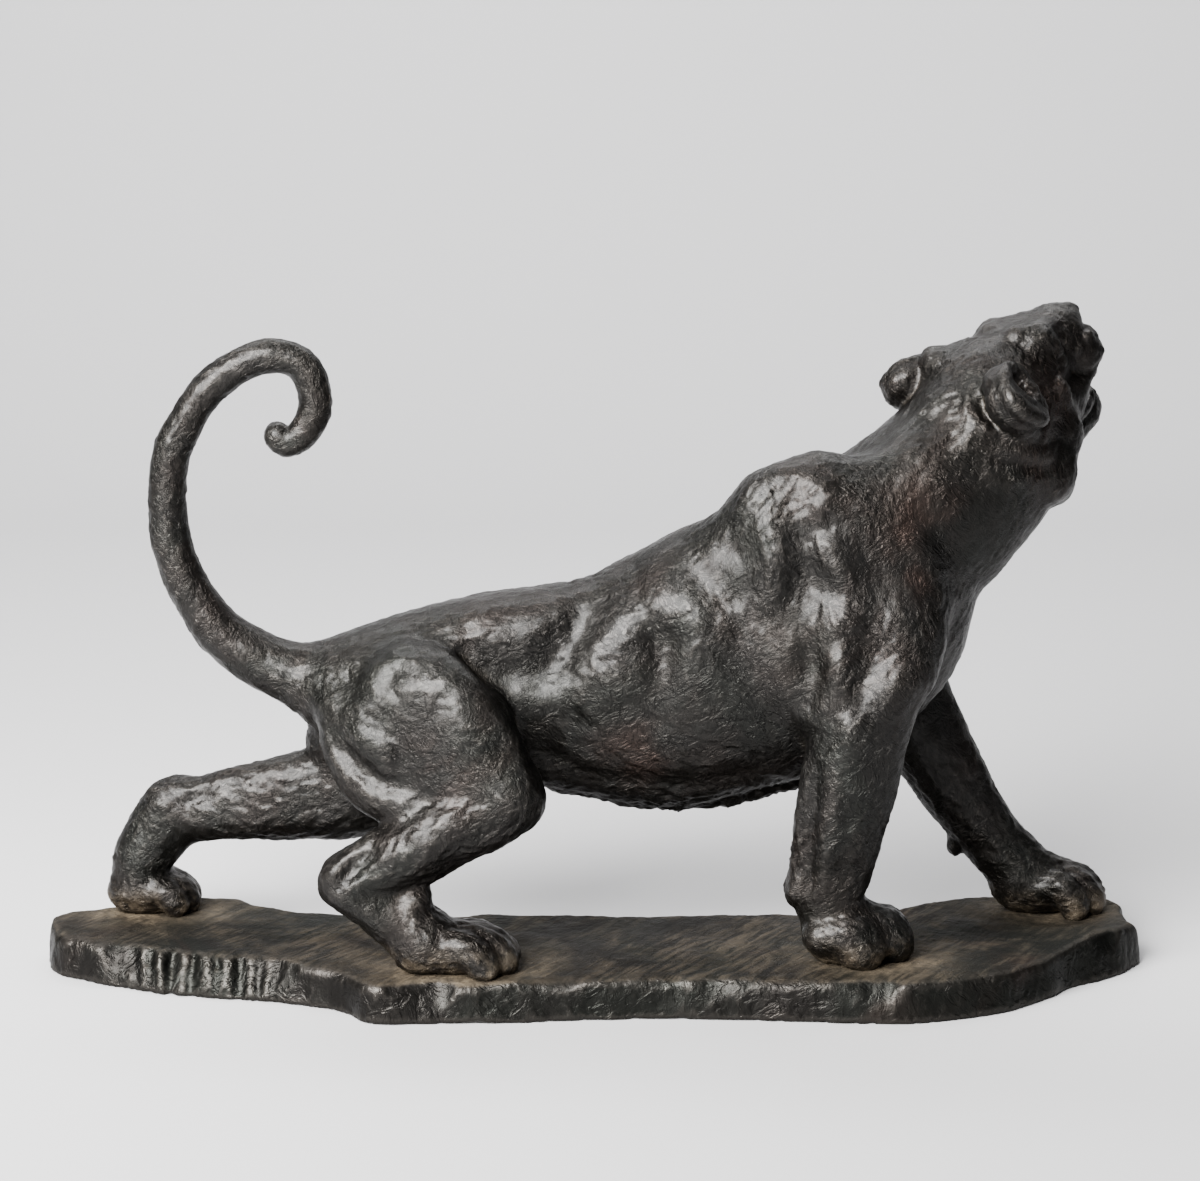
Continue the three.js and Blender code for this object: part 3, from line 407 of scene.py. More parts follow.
FLANK_MUSCLES = [
    [(21, 182, 12, 1), (31, 184, 13, 3), (44, 181, 13, 2.5), (54, 174, 11, 1)],
    [(25, 179, 9, 1.5), (15, 172, 11, 3.5), (8, 161, 13, 5),
     (5, 147, 13, 5), (4, 135, 10, 3), (3, 125, 8, 1)],
    [(26, 174, 6, -1), (31, 163, 7, -2.2), (31, 146, 7, -2), (27, 132, 7, -1)],
    [(37, 179, 10, 1.5), (45, 178, 11, 3), (49, 168, 10, 2), (50, 156, 9, 1)],
    [(10, 162, 6, -0.5), (6, 155, 6, -1.2), (3, 148, 6, -0.5)],
    [(-1, 178, 8, -1.5), (-9, 167, 9, -3.2), (-16, 155, 9, -3.5), (-20, 146, 8, -1.5)],
    [(-58, 170, 12, 2), (-47, 171, 14, 5), (-32, 171, 15, 5.5), (-18, 174, 13, 5), (-7, 178, 10, 2)],
    [(-54, 156, 8, -1.5), (-41, 150, 9, -2.8), (-25, 151, 9, -2.8), (-16, 158, 8, -1.5)],
    [(-45, 144, 10, 1), (-32, 141, 11, 2.2), (-18, 141, 11, 2), (-6, 139, 9, 1)],
    [(-9, 131, 6, -1), (-3, 129, 6, -1)],
    [(31, 165, 7, -1.6), (29, 158, 6, -1)],
    [(45, 163, 8, 0.6), (40, 151, 8, 0.9), (35, 138, 8, 0.5)],
    [(-16, 110, 6, -1), (0, 101, 6, -1.8), (25, 98, 6, -2), (55, 100, 6, -1.8), (78, 110, 6, -1)],
    [(-23, 122, 8, -1), (-21, 110, 8, -2.5)],
]
NEAR_THIGH_MUSCLES = [
    [(-87, 145, 12, 1.5), (-75, 150, 14, 3.5), (-64, 149, 14, 3.5), (-57, 142, 12, 2.5)],
    [(-63, 146, 10, 1), (-57, 138, 12, 3.2), (-52, 127, 11, 3.4), (-47, 117, 9, 1.5)],
    [(-94, 155, 3.5, 0.8), (-84, 157, 3.5, 1.5), (-69, 156, 3.5, 1)],
    [(-90, 150, 6, -1), (-84, 154, 6, -1.2), (-72, 153, 6, -1)],
    [(-54, 158, 7, -1.5), (-46, 147, 7, -3.5), (-38, 136, 7, -4), (-30, 125, 7, -4), (-23, 108, 7, -3)],
    [(-52, 149, 5, 1), (-43, 136, 6, 2.5), (-35, 124, 6, 3), (-29, 112, 6, 2.5), (-25, 103, 6, 1)],
    [(-104, 131, 6, 1.5), (-100, 124, 7, 3.5), (-93, 119, 6.5, 3.5), (-90, 112, 6, 1.5)],
    [(-85, 123, 7, -1.5), (-83, 115, 7, -2), (-78, 109, 6, -1)],
    [(-124, 121, 4, 2), (-118, 115, 4.5, 4), (-108, 108, 5, 4.5),
     (-97, 102, 5, 4.5), (-85, 100, 5, 3.5), (-73, 98, 5, 1.5)],
    [(-114, 124, 4, -1.5), (-109, 116, 4.5, -3), (-101, 109, 4.5, -3), (-91, 105, 4.5, -2), (-81, 104, 4, -1)],
    [(-60, 100, 9, 1.5), (-63, 90, 10, 4), (-75, 79, 10, 4.5), (-90, 69, 8, 3), (-102, 63, 6, 1.5)],
    [(-54, 77, 7, -1), (-67, 68, 6, -1.5), (-80, 58, 6, -1.5)],
    [(-40, 109, 9, 1.5), (-36, 100, 9, 2)],
    [(-97, 82, 4, 1), (-107, 73, 4, 2.2), (-115, 65, 4, 2), (-121, 56, 4, 1)],
    [(-96, 76, 4, -1), (-106, 66, 4, -2.5), (-110, 61, 4, -1)],
    [(-111, 56, 4, 1), (-104, 61, 4, 2), (-95, 63, 4, 1)],
    [(-111, 54, 4, 1), (-99, 49, 4, 1.5), (-94, 43, 4, 1)],
    [(-86, 51, 7, 1), (-80, 43, 7, 2), (-76, 35, 7, 1.5)],
]
FORELEG_TENDONS = [
    [(95, 115, 4, 1.5), (93, 96, 4, 3), (91, 73, 4, 3), (90, 53, 4, 1.5)],
    [(99, 113, 3.5, -1.2), (98, 94, 3.5, -2), (97, 75, 3.5, -2), (96, 60, 4, -2)],
    [(107, 109, 5, 1), (105, 92, 5, 2), (103, 76, 5, 2), (102, 59, 5, 1)],
    [(113, 100, 4, -0.8), (111, 81, 4, -1.4), (109, 65, 4, -1)],
]
FAR_SHANK_INNER = [
    [(-190, 80, 6, 1), (-172, 86, 8, 2), (-150, 90, 8, 2), (-141, 93, 8, 1)],
    [(-188, 76, 5, -2), (-182, 78, 5, -2)],
    [(-181, 62, 6, 1), (-160, 65, 7, 2), (-136, 67, 7, 1)],
]
HEAD_FUR = [
    [(167, 276, 4, 0.5), (166, 269, 4, 1.8), (169, 263, 4, 2.2), (174, 258, 4, 1.8), (180, 256, 4, 0.5)],
    [(171, 278, 3.5, -0.5), (170, 270, 3.5, -1.8), (172, 264, 3.5, -1.8), (178, 260, 3.5, -0.8)],
    [(182, 256, 4.5, 1.5), (190, 255, 4.5, 4), (197, 254, 4.5, 2)],
    [(179, 251, 5, 1.5), (188, 249, 5, 3.5), (198, 246, 5, 4), (204, 247, 4, 1.5)],
    [(179, 254, 3.5, -1), (190, 252, 3.5, -2.2), (200, 250, 3.5, -1.8)],
    [(179, 245, 4, -0.8), (190, 243, 4, -2), (201, 241, 4, -1.5)],
    [(177, 239, 6, 0.8), (189, 237, 6, 1.6), (201, 235, 6, 1)],
    [(158, 256, 8, 1), (164, 254, 9, 2.5), (171, 249, 8, 1)],
    [(184, 299, 4, 0.5), (193, 302, 4, 1.2), (202, 301, 4, 1.5)],
    [(202, 296, 3, 1), (208, 289, 3, 2), (210, 280, 3, 1.5), (207, 271, 3, 0.8)],
    [(210, 271, 7, -0.5), (210, 258, 8, -2), (208, 245, 8, -2), (208, 234, 6, -1)],
    [(202, 268, 4, 0.8), (200, 257, 4, 1.2), (203, 239, 4, 1.2), (207, 227, 4, 0.8)],
    [(115, 245, 5, 0.5), (134, 258, 5, 1.2), (148, 267, 5, 1.2), (157, 274, 5, 0.8)],
]
FAR_THIGH_MUSCLES = [
    [(-82, 142, 13, 2), (-92, 136, 14, 4), (-104, 124, 12, 3)],
    [(-62, 150, 8, -2), (-66, 130, 8, -3.5), (-72, 108, 8, -2)],
    [(-112, 112, 10, 2), (-104, 96, 12, 3), (-96, 84, 9, 2)],
    [(-130, 88, 8, 2), (-152, 82, 8, 3), (-176, 76, 7, 2)],
]


class Head:
    """Places and lumps in the head's own right, forward and up measures."""

    def __init__(self, clay):
        self.clay = clay
        right = unit(HEAD_RIGHT)
        forward = unit(HEAD_FORWARD - (HEAD_FORWARD @ right) * right)
        self.axes = np.array([right, forward, np.cross(right, forward)])

    def at(self, r, f, u, *radii):
        p = HEAD_CENTRE + HEAD_SIZE * np.array([r, f, u]) @ self.axes
        return (*p, *(v * HEAD_SIZE for v in radii))

    def egg(self, place, radii, blend, cut=False):
        self.clay.egg(self.at(*place), [v * HEAD_SIZE for v in radii], blend, axes=self.axes, cut=cut)

    def strand(self, rows, blend, cut=False):
        self.clay.strand([self.at(*row) for row in rows], blend, side=self.axes[0], cut=cut)


def add_head(clay):
    head = Head(clay)
    head.egg((0, 0, 4), (28, 31, 27), 6)
    head.egg((-6, 6, 20), (20, 18, 12), 6)
    head.egg((0, 20, 12), (19, 20, 16), 6)
    head.strand([(0, 20, 6, 16, 18), (0, 35, 7, 15.5, 16), (0, 46, 7.5, 12.5, 13)], 6)
    for s in (-1, 1):
        head.egg((12 * s, 28, 20), (6.5, 8, 7), 4)
        head.egg((8.5 * s, 47, -2), (9, 10, 9.5), 3)
        head.egg((18 * s, 8, -10), (11, 17, 16), 6)
        head.egg((22 * s, -2, -20), (9, 12, 13), 5)
        head.egg((16 * s, 1, -31), (8, 9, 8), 4)
        head.egg((8.6 * s, 53.2, 0), (5, 5.4, 6), 2.5)
    head.egg((0, 55, 9.5), (7.5, 5.5, 6), 2.5)
    head.strand([(0, 5, -24, 14, 15), (0, 36, -28, 8.5, 11), (0, 43, -28, 8.5, 9)], 6)
    head.egg((0, 42, -14), (11, 22, 6.5), 3, cut=True)
    clay.egg((154, 19, 283), (7, 9, 7), 5)
    add_face(head)
    for s in (-1, 1):
        head.strand([(17 * s, 14, -8, 8, 6), (15 * s, 26, -10, 9, 5), (12.5 * s, 36, -11, 7, 3.5)], 4)
    add_ear(head, 1, 14.5, (25.5, -6, 21))
    add_ear(head, -1, 10.8, (-28, -8, 22.5))


def add_face(head):
    """Eyes, nose and lips, on both sides alike."""
    for s in (-1, 1):
        head.egg((15.5 * s, 32, 12), (5.5, 6, 4.2), 3, cut=True)
        head.egg((13 * s, 30.5, 11.5), (4.6, 4.6, 4.6), 0.8)
        head.strand([(17.5 * s, 26, 12.5, 1.6), (15.5 * s, 32, 15.5, 1.8), (9.5 * s, 36.5, 14, 1.6)], 1.5)
        head.strand([(17.5 * s, 26, 11, 1.5), (15.5 * s, 33, 7.6, 1.7), (9.5 * s, 37, 9.5, 1.4)], 1.5)
        head.strand([(7 * s, 24, 26, 4, 4), (10 * s, 34, 21, 3, 3), (6 * s, 42, 17, 2.5, 2.5)], 4)
        head.egg((3.6 * s, 60, 8), (2, 2.2, 1.6), 1.2, cut=True)
        head.strand([(4.4 * s, 59, 6, 1.2), (5.8 * s, 57.5, 3, 1), (6.4 * s, 55, 0, 0.8)], 1, cut=True)
        for f, u in ((50, 4), (46, -1), (52, -5), (43, 5)):
            head.egg((13.8 * s, f, u), (2.4, 3.2, 2.4), 2.5)
        head.strand([(13 * s, 22, -9, 2, 2), (15.5 * s, 34, -9, 2.4, 2), (13 * s, 46, -9.5, 2.4, 2)], 2)
        head.strand([(12 * s, 24, -20, 2, 2), (11 * s, 36, -21, 2.6, 2.4), (6 * s, 46, -22, 2.6, 2.4)], 3)
        head.strand([(22 * s, 20, 2, 5, 4), (21 * s, 8, 2, 6, 4), (24 * s, -4, 6, 5, 4)], 5)
    head.strand([(0, 60.5, 5, 1), (0, 59, 0, 1), (0, 57, -5, 1)], 1, cut=True)
    head.egg((0, 60, 10), (4.5, 2, 3), 2)
    head.strand([(0, 14, -20, 7, 9), (0, 30, -19, 2.6, 7), (0, 42, -17.5, 2, 5)], 2)


def add_ear(head, s, wide, place):
    """A thick cup turned outwards and forwards: a rolled rim, a fold inside and four tufts on the rim."""
    right, forward, up = head.axes
    face = unit(0.76 * s * right + 0.54 * forward + 0.3 * up)
    across = unit(np.cross(up, face))
    tall = np.cross(face, across)
    w = wide * HEAD_SIZE
    centre = np.array(head.at(*place))
    axes = np.array([across, tall, face])

    def at(a, b, c):
        return centre + w * (a * across + b * tall + c * face)

    head.clay.egg(centre, (w, w, w * 0.66), 4, axes=axes)
    head.clay.egg(centre + w * (0.68 * face + 0.2 * across + 0.1 * tall), (w * 0.44, w * 0.56, w * 0.5), 3,
                  axes=axes, cut=True)
    rim = []
    for turn in np.linspace(0, 2 * math.pi, 19):
        r = 2.9 - 1.3 * math.cos(turn) + 0.4 * math.sin(turn * 2 + 0.6) + 0.3 * math.sin(turn * 5)
        out = w * (0.8 + 0.04 * math.sin(turn * 3))
        p = centre + face * w * 0.38 + out * (math.cos(turn) * across + math.sin(turn) * tall)
        rim.append((*p, r, r))
    head.clay.strand(rim, 2.5, side=face)
    fold = ((-0.4, 0.36, 0.16), (-0.16, 0.06, 0.1), (0.2, -0.3, 0.14))
    head.clay.strand([(*at(*p), w * 0.15, w * 0.15) for p in fold], 2, side=face)
    tufts = (
        (0.44, -0.26, 0.36, 0.24), (0.16, -0.54, 0.38, 0.24), (0.66, 0.16, 0.32, 0.2), (0.5, 0.55, 0.34, 0.16),
    )
    for *p, r in tufts:
        head.clay.egg(at(*p), (w * r, w * r * 1.3, w * r), 1.5, axes=axes)


def model_tiger():
    """All the lumps in turn, then the muscles laid on them, then the head."""
    clay = Clay()
    for add in (add_trunk, add_neck, add_shoulders, add_forelegs, add_hindlegs, add_tail):
        add(clay)
    for rows in (SHOULDER_MUSCLES, ARM_MUSCLES, FLANK_MUSCLES, NEAR_THIGH_MUSCLES, FORELEG_TENDONS,
                 FAR_SHANK_INNER):
        clay.muscles(rows, -1)
    clay.muscles(SHOULDER_MUSCLES, 1, FAR_SHOULDER_SHIFT)
    clay.muscles(ARM_MUSCLES[:3], 1, FAR_SHOULDER_SHIFT)
    clay.muscles(FLANK_MUSCLES, 1)
    clay.muscles(FAR_THIGH_MUSCLES, 1)
    add_head(clay)
    clay.muscles(HEAD_FUR, -1)
    return clay


# Base form

def base_outline():
    """The foot of the wall as one closed line, and the shift that centres it on the row's axes."""
    rows = smooth_chain(BASE_EDGE, 6)
    front = rows[:, [0, 1]]
    back = rows[::-1, [0, 2]]
    shift = -(rows[:, 1].min() + rows[:, 2].max()) / 2
    return np.concatenate([front, back]), shift


def smooth_step(v, low, high):
    """0 up to the low value, 1 from the high one, smooth between."""
    t = np.clip((v - low) / (high - low), 0, 1)
    return t * t * (3 - 2 * t)


# Places on the base's edge trimmed flat with a chisel, the way each cut faces, and how deep its gouges are
CHISEL_CUTS = [
    ((-80, -63.5, 11), (0.26, -0.8, 0.54), 0.1),
    ((-20, -60.5, 14), (0.1, -0.7, 0.8), 0),
    ((118, -62, 12), (0.12, -0.86, 0.5), 0.2),
    ((-206, -16, 10), (-0.4, -0.75, 0.55), 1.1),
    ((-180, -23.5, 10), (-0.3, -0.78, 0.55), 1.3),
    ((-150, -30, 10), (-0.25, -0.8, 0.55), 1.2),
    ((226, -10, 16), (0.7, -0.6, 0.5), 0),
    ((60, -57.5, 13.5), (-0.1, -0.85, 0.55), 0.2),
]
CHISEL_REACH = 28
CHISEL_BLEND = 2
GOUGE_SPACING = 1.45


class Slab:
    """The rock-shaped base: an outline with a drafted wall, a rounded rim and an uneven top."""

    def __init__(self):
        self.outline, _ = base_outline()

    def edge_distance(self, xy):
        """Signed distance in plan to the foot of the wall, below zero inside."""
        a = self.outline
        b = np.roll(a, -1, axis=0)
        out = np.empty(len(xy))
        for block in np.array_split(np.arange(len(xy)), len(xy) // EDGE_POINTS_AT_ONCE + 1):
            p = xy[block]
            best = np.full(len(p), 1e9)
            inside = np.zeros(len(p), bool)
            for (ax, ay), (bx, by) in zip(a, b):
                ex, ey = bx - ax, by - ay
                if ex * ex + ey * ey < 1e-9:
                    continue
                px, py = p[:, 0] - ax, p[:, 1] - ay
                t = np.clip((px * ex + py * ey) / (ex * ex + ey * ey), 0, 1)
                best = np.minimum(best, (px - t * ex) ** 2 + (py - t * ey) ** 2)
                crosses = (ay > p[:, 1]) != (by > p[:, 1])
                if ey != 0:
                    inside ^= crosses & (px < ex * py / ey)
            out[block] = np.where(inside, -1, 1) * np.sqrt(best)
        return out

    def distance(self, points, _):
        """Distance to the skin of the base, below zero inside."""
        x, y, z = points.T
        flat = points * (1, 1, 0)
        plan = self.edge_distance(points[:, :2])
        plan += 1.1 * noise(flat, 23, 61) + 0.7 * noise(points * (1, 1, 0.5), 9, 62)
        lobe = smooth_step(x, 205, 240) * smooth_step(-y, -38, 10)
        top = BASE_HEIGHT + BASE_RIGHT_RISE * lobe + 0.6 * np.sin(x / 47 + 1.3) * np.cos(y / 31 - 0.4)
        top += 0.6 * noise(flat, 34, 63) + 0.35 * noise(flat, 12, 64)
        wall = plan + (0.8 * BASE_DRAFT + 2.4 * noise(flat, 34, 65)) * z / BASE_HEIGHT
        lid = z - top
        d = soft_cut(wall, lid, 4.2 + 2.6 * noise(flat, 28, 66))
        gouges = np.sin(x / GOUGE_SPACING + 2.2 * noise(points, 14, 68)) * (0.6 + 0.5 * noise(points, 17, 69))
        gouges *= 0.2 + 0.8 * smooth_step(x, -216, -202)
        for place, facing, gouge in CHISEL_CUTS:
            e = (points - place) @ unit(facing) + gouge * gouges
            beside = np.abs(x - place[0])
            e -= (12 + beside) * (1 - np.exp(-((beside / CHISEL_REACH) ** 4)))
            d = soft_cut(d, e, CHISEL_BLEND)
        return np.maximum(d, -z)


# Skin

def skin_values(clay, low, high, step):
    """Distances on a fine grid, found from coarse to fine and only where the skin is near."""
    n = np.ceil((np.array(high) - low) / step).astype(int) + 1
    level = 8
    coarse = (n + level - 1) // level + 1
    grid = np.stack(np.meshgrid(*[np.arange(c) for c in coarse], indexing="ij"), -1).reshape(-1, 3)
    value = clay.distance(low + grid * step * level, level * step * 3).reshape(coarse)
    while level > 1:
        level //= 2
        fine = np.zeros([2 * s - 1 for s in value.shape])
        fine[::2, ::2, ::2] = value
        fine[1::2, ::2, ::2] = (value[:-1] + value[1:]) / 2
        fine[:, 1::2, ::2] = (fine[:, :-2:2, ::2] + fine[:, 2::2, ::2]) / 2
        fine[:, :, 1::2] = (fine[:, :, :-2:2] + fine[:, :, 2::2]) / 2
        value = fine
        near = np.argwhere(np.abs(value) < level * step * 3)
        value[tuple(near.T)] = clay.distance(low + near * level * step, level * step * 6)
    return value[: n[0], : n[1], : n[2]]


def drawn_onto(clay, points, step):
    """The points moved along the slope of the distance onto the skin."""
    e = step * 0.2
    d = clay.distance(points, step * 4)
    slope = np.stack([clay.distance(points + np.eye(3)[i] * e, step * 4) - d for i in range(3)], 1) / e
    move = -(d / np.maximum((slope**2).sum(1), 0.15))[:, None] * slope
    length = np.linalg.norm(move, axis=1)
    return points + move * np.minimum(1, step * 0.5 / np.maximum(length, 1e-9))[:, None]


def clay_skin(clay, low, high, step):
    """Closed quad skin of the clay: a point in each cell that the skin crosses, a quad across each edge."""
    low = np.array(low, float)
    value = skin_values(clay, low, high, step)
    inside = value < 0
    cells = np.zeros(np.array(value.shape) - 1, int)
    corners = np.array([(x, y, z) for x in (0, 1) for y in (0, 1) for z in (0, 1)])
    for c in corners:
        cells += inside[tuple(slice(c[i], c[i] + cells.shape[i]) for i in range(3))]
    where = np.argwhere((cells > 0) & (cells < 8))
    number = -np.ones(cells.shape, int)
    number[tuple(where.T)] = np.arange(len(where))
    at_corner = np.stack([value[tuple((where + c).T)] for c in corners], 1)
    total = np.zeros((len(where), 3))
    hits = np.zeros(len(where))
    for i in range(8):
        for j in range(i + 1, 8):
            if np.abs(corners[i] - corners[j]).sum() != 1:
                continue
            a, b = at_corner[:, i], at_corner[:, j]
            hit = (a < 0) != (b < 0)
            t = np.where(hit, a / np.where(hit, a - b, 1), 0)
            total += np.where(hit[:, None], corners[i] + t[:, None] * (corners[j] - corners[i]), 0)
            hits += hit
    points = drawn_onto(clay, low + (where + total / hits[:, None]) * step, step)
    quads = []
    for axis, (b, c) in enumerate(((1, 2), (2, 0), (0, 1))):
        start = tuple(slice(0, -1) if i == axis else slice(None) for i in range(3))
        end = tuple(slice(1, None) if i == axis else slice(None) for i in range(3))
        db, dc = np.eye(3, dtype=int)[b], np.eye(3, dtype=int)[c]
        for flip, change in ((False, inside[start] & ~inside[end]), (True, ~inside[start] & inside[end])):
            edge = np.argwhere(change)
            quad = np.stack([number[tuple((edge - o).T)] for o in (db + dc, dc, 0 * db, db)], 1)
            quads.append(quad[:, ::-1] if flip else quad)
    return points, np.concatenate(quads)


def point_normals(points, quads):
    """Outward normals of the net's points."""
    normal = np.cross(points[quads[:, 2]] - points[quads[:, 0]], points[quads[:, 3]] - points[quads[:, 1]])
    out = np.zeros_like(points)
    for corner in quads.T:
        for i in range(3):
            out[:, i] += np.bincount(corner, normal[:, i], len(points))
    return out / np.maximum(np.linalg.norm(out, axis=1), 1e-9)[:, None]


HASH_X, HASH_Y, HASH_Z, HASH_SEED = 73856093, 19349663, 83492791, 2654435761
HASH_MIX, HASH_ADD, HASH_MASK = 1103515245, 12345, 0x7FFFFFFF


def noise(points, scale, seed):
    """Smooth random values between -1 and 1 over space, the same each time."""
    p = points / scale
    cell = np.floor(p).astype(np.int64)
    f = p - cell
    f = f * f * (3 - 2 * f)
    out = np.zeros(len(p))
    for dx in (0, 1):
        for dy in (0, 1):
            for dz in (0, 1):
                c = cell + (dx, dy, dz)
                h = (c[:, 0] * HASH_X ^ c[:, 1] * HASH_Y ^ c[:, 2] * HASH_Z ^ seed * HASH_SEED) & HASH_MASK
                h = (h * HASH_MIX + HASH_ADD) & HASH_MASK
                h = ((h >> 7) ^ h) & 0xFFFF
                w = (f[:, 0] if dx else 1 - f[:, 0]) * (f[:, 1] if dy else 1 - f[:, 1])
                out += w * (f[:, 2] if dz else 1 - f[:, 2]) * (h / 32767.5 - 1)
    return out


def point_tree(points):
    """Finds near points fast."""
    tree = kdtree.KDTree(len(points))
    for i, p in enumerate(points):
        tree.insert(p, i)
    tree.balance()
    return tree


def comb_strokes(points, normals, lie, strength, number, seed):
    """Heights of tool strokes laid over one another, each with a ridge on one flank, a groove on the other."""
    rng = np.random.default_rng(seed)
    tree = point_tree(points)
    height = np.zeros(len(points))
    for i in rng.choice(len(points), number):
        length = rng.uniform(*STROKE_LENGTH)
        wide = rng.uniform(*STROKE_WIDTH)
        turn = rng.normal(0, STROKE_SWING)
        n = normals[i]
        t = lie[i] - (lie[i] @ n) * n
        t /= max(np.linalg.norm(t), 1e-6)
        s = np.cross(n, t)
        t, s = t * math.cos(turn) + s * math.sin(turn), s * math.cos(turn) - t * math.sin(turn)
        near = np.array([k for _, k, _ in tree.find_range(points[i], length)])
        q = points[near] - points[i]
        u = q @ t / length
        v = (q @ s + u * u * wide) / wide
        window = np.clip(1 - u * u, 0, 1) * np.exp(-(v * v) * 0.5)
        shape = np.exp(-((v - 0.5) ** 2) * 3) - 0.9 * np.exp(-((v + 0.6) ** 2) * 3.5)
        height[near] = height[near] * (1 - 0.75 * window) + shape * window * rng.uniform(*STROKE_WEIGHT)
    return height * strength


def lie_of_hair(clay, points, seed):
    """The way the hair lies at each point: along the nearest strand, and swung to and fro on its way."""
    starts, ways = [], []
    for parts, *_ in clay.lumps:
        if isinstance(parts, list) and parts[0][0][3] > BONE_THICKNESS:
            for a, b, _, along, _, _ in parts:
                starts.append((a[:3] + b[:3]) / 2)
                ways.append(along)
    tree = point_tree(starts)
    way = np.array([ways[tree.find(p)[1]] for p in points])
    for axis in range(3):
        way[:, axis] += 0.75 * noise(points, 26, seed + axis)
    return way


# Making objects

def net_object(name, points, quads, attributes):
    """An object of this quad net, with a number for each point under each key."""
    mesh = bpy.data.meshes.new(name)
    mesh.vertices.add(len(points))
    mesh.vertices.foreach_set("co", (points * MM).astype(np.float32).ravel())
    mesh.loops.add(quads.size)
    mesh.loops.foreach_set("vertex_index", quads.astype(np.int32).ravel())
    mesh.polygons.add(len(quads))
    mesh.polygons.foreach_set("loop_start", np.arange(0, quads.size, 4, dtype=np.int32))
    mesh.update(calc_edges=True)
    mesh.validate()
    for key, values in attributes.items():
        store_attribute(mesh, key, values)
    obj = bpy.data.objects.new(name, mesh)
    bpy.context.scene.collection.objects.link(obj)
    return obj


def store_attribute(mesh, key, values):
    """Keeps one number for each point of the mesh under this key."""
    layer = mesh.attributes.get(key) or mesh.attributes.new(key, "FLOAT", "POINT")
    layer.data.foreach_set("value", np.asarray(values, np.float32))


def baked(obj, name):
    """Replaces the object's mesh by its evaluated one, without modifiers."""
    evaluated = obj.evaluated_get(bpy.context.evaluated_depsgraph_get())
    mesh = bpy.data.meshes.new_from_object(evaluated)
    old = obj.data
    obj.modifiers.clear()
    obj.data = mesh
    mesh.name = name
    bpy.data.meshes.remove(old)
    return obj


def thin_to(obj, most):
    """Merges the flattest faces until no more than so many triangles are left."""
    triangles = sum(len(p.vertices) - 2 for p in obj.data.polygons)
    if triangles <= most:
        return obj
    modifier = obj.modifiers.new("Fewer faces", "DECIMATE")
    modifier.ratio = most / triangles
    return baked(obj, obj.data.name)


def mesh_arrays(mesh):
    """The mesh's points, the two ends of each edge, and the points' normals."""
    points = np.empty(len(mesh.vertices) * 3, np.float32)
    mesh.vertices.foreach_get("co", points)
    edges = np.empty(len(mesh.edges) * 2, np.int32)
    mesh.edges.foreach_get("vertices", edges)
    normals = np.empty(len(mesh.vertices) * 3, np.float32)
    mesh.vertices.foreach_get("normal", normals)
    return points.reshape(-1, 3).astype(float), edges.reshape(-1, 2), normals.reshape(-1, 3).astype(float)


def store_hollows(mesh):
    """Marks how deep each point lies in a hollow, fine and broad, in millimetres."""
    points, edges, normals = mesh_arrays(mesh)
    ends = np.concatenate([edges[:, 0], edges[:, 1]])
    others = np.concatenate([edges[:, 1], edges[:, 0]])
    count = np.maximum(np.bincount(ends, minlength=len(points)), 1)
    p = points
    for rounds, key in ((4, "fine_hollow"), (36, "broad_hollow")):
        for _ in range(rounds):
            p = np.stack([np.bincount(ends, p[others, i], len(p)) / count for i in range(3)], 1)
        store_attribute(mesh, key, ((p - points) * normals).sum(1) / MM)


# Node helpers

def link(tree, a, out, b, into):
    tree.links.new(a.outputs[out], b.inputs[into])


def add_math(tree, operation, a, b, clamp=False):
    """A Math node; a and b are numbers or output sockets."""
    node = tree.nodes.new("ShaderNodeMath")
    node.operation = operation
    node.use_clamp = clamp
    for socket, value in zip(node.inputs, (a, b)):
        if isinstance(value, (int, float)):
            socket.default_value = value
        else:
            tree.links.new(value, socket)
    return node.outputs[0]


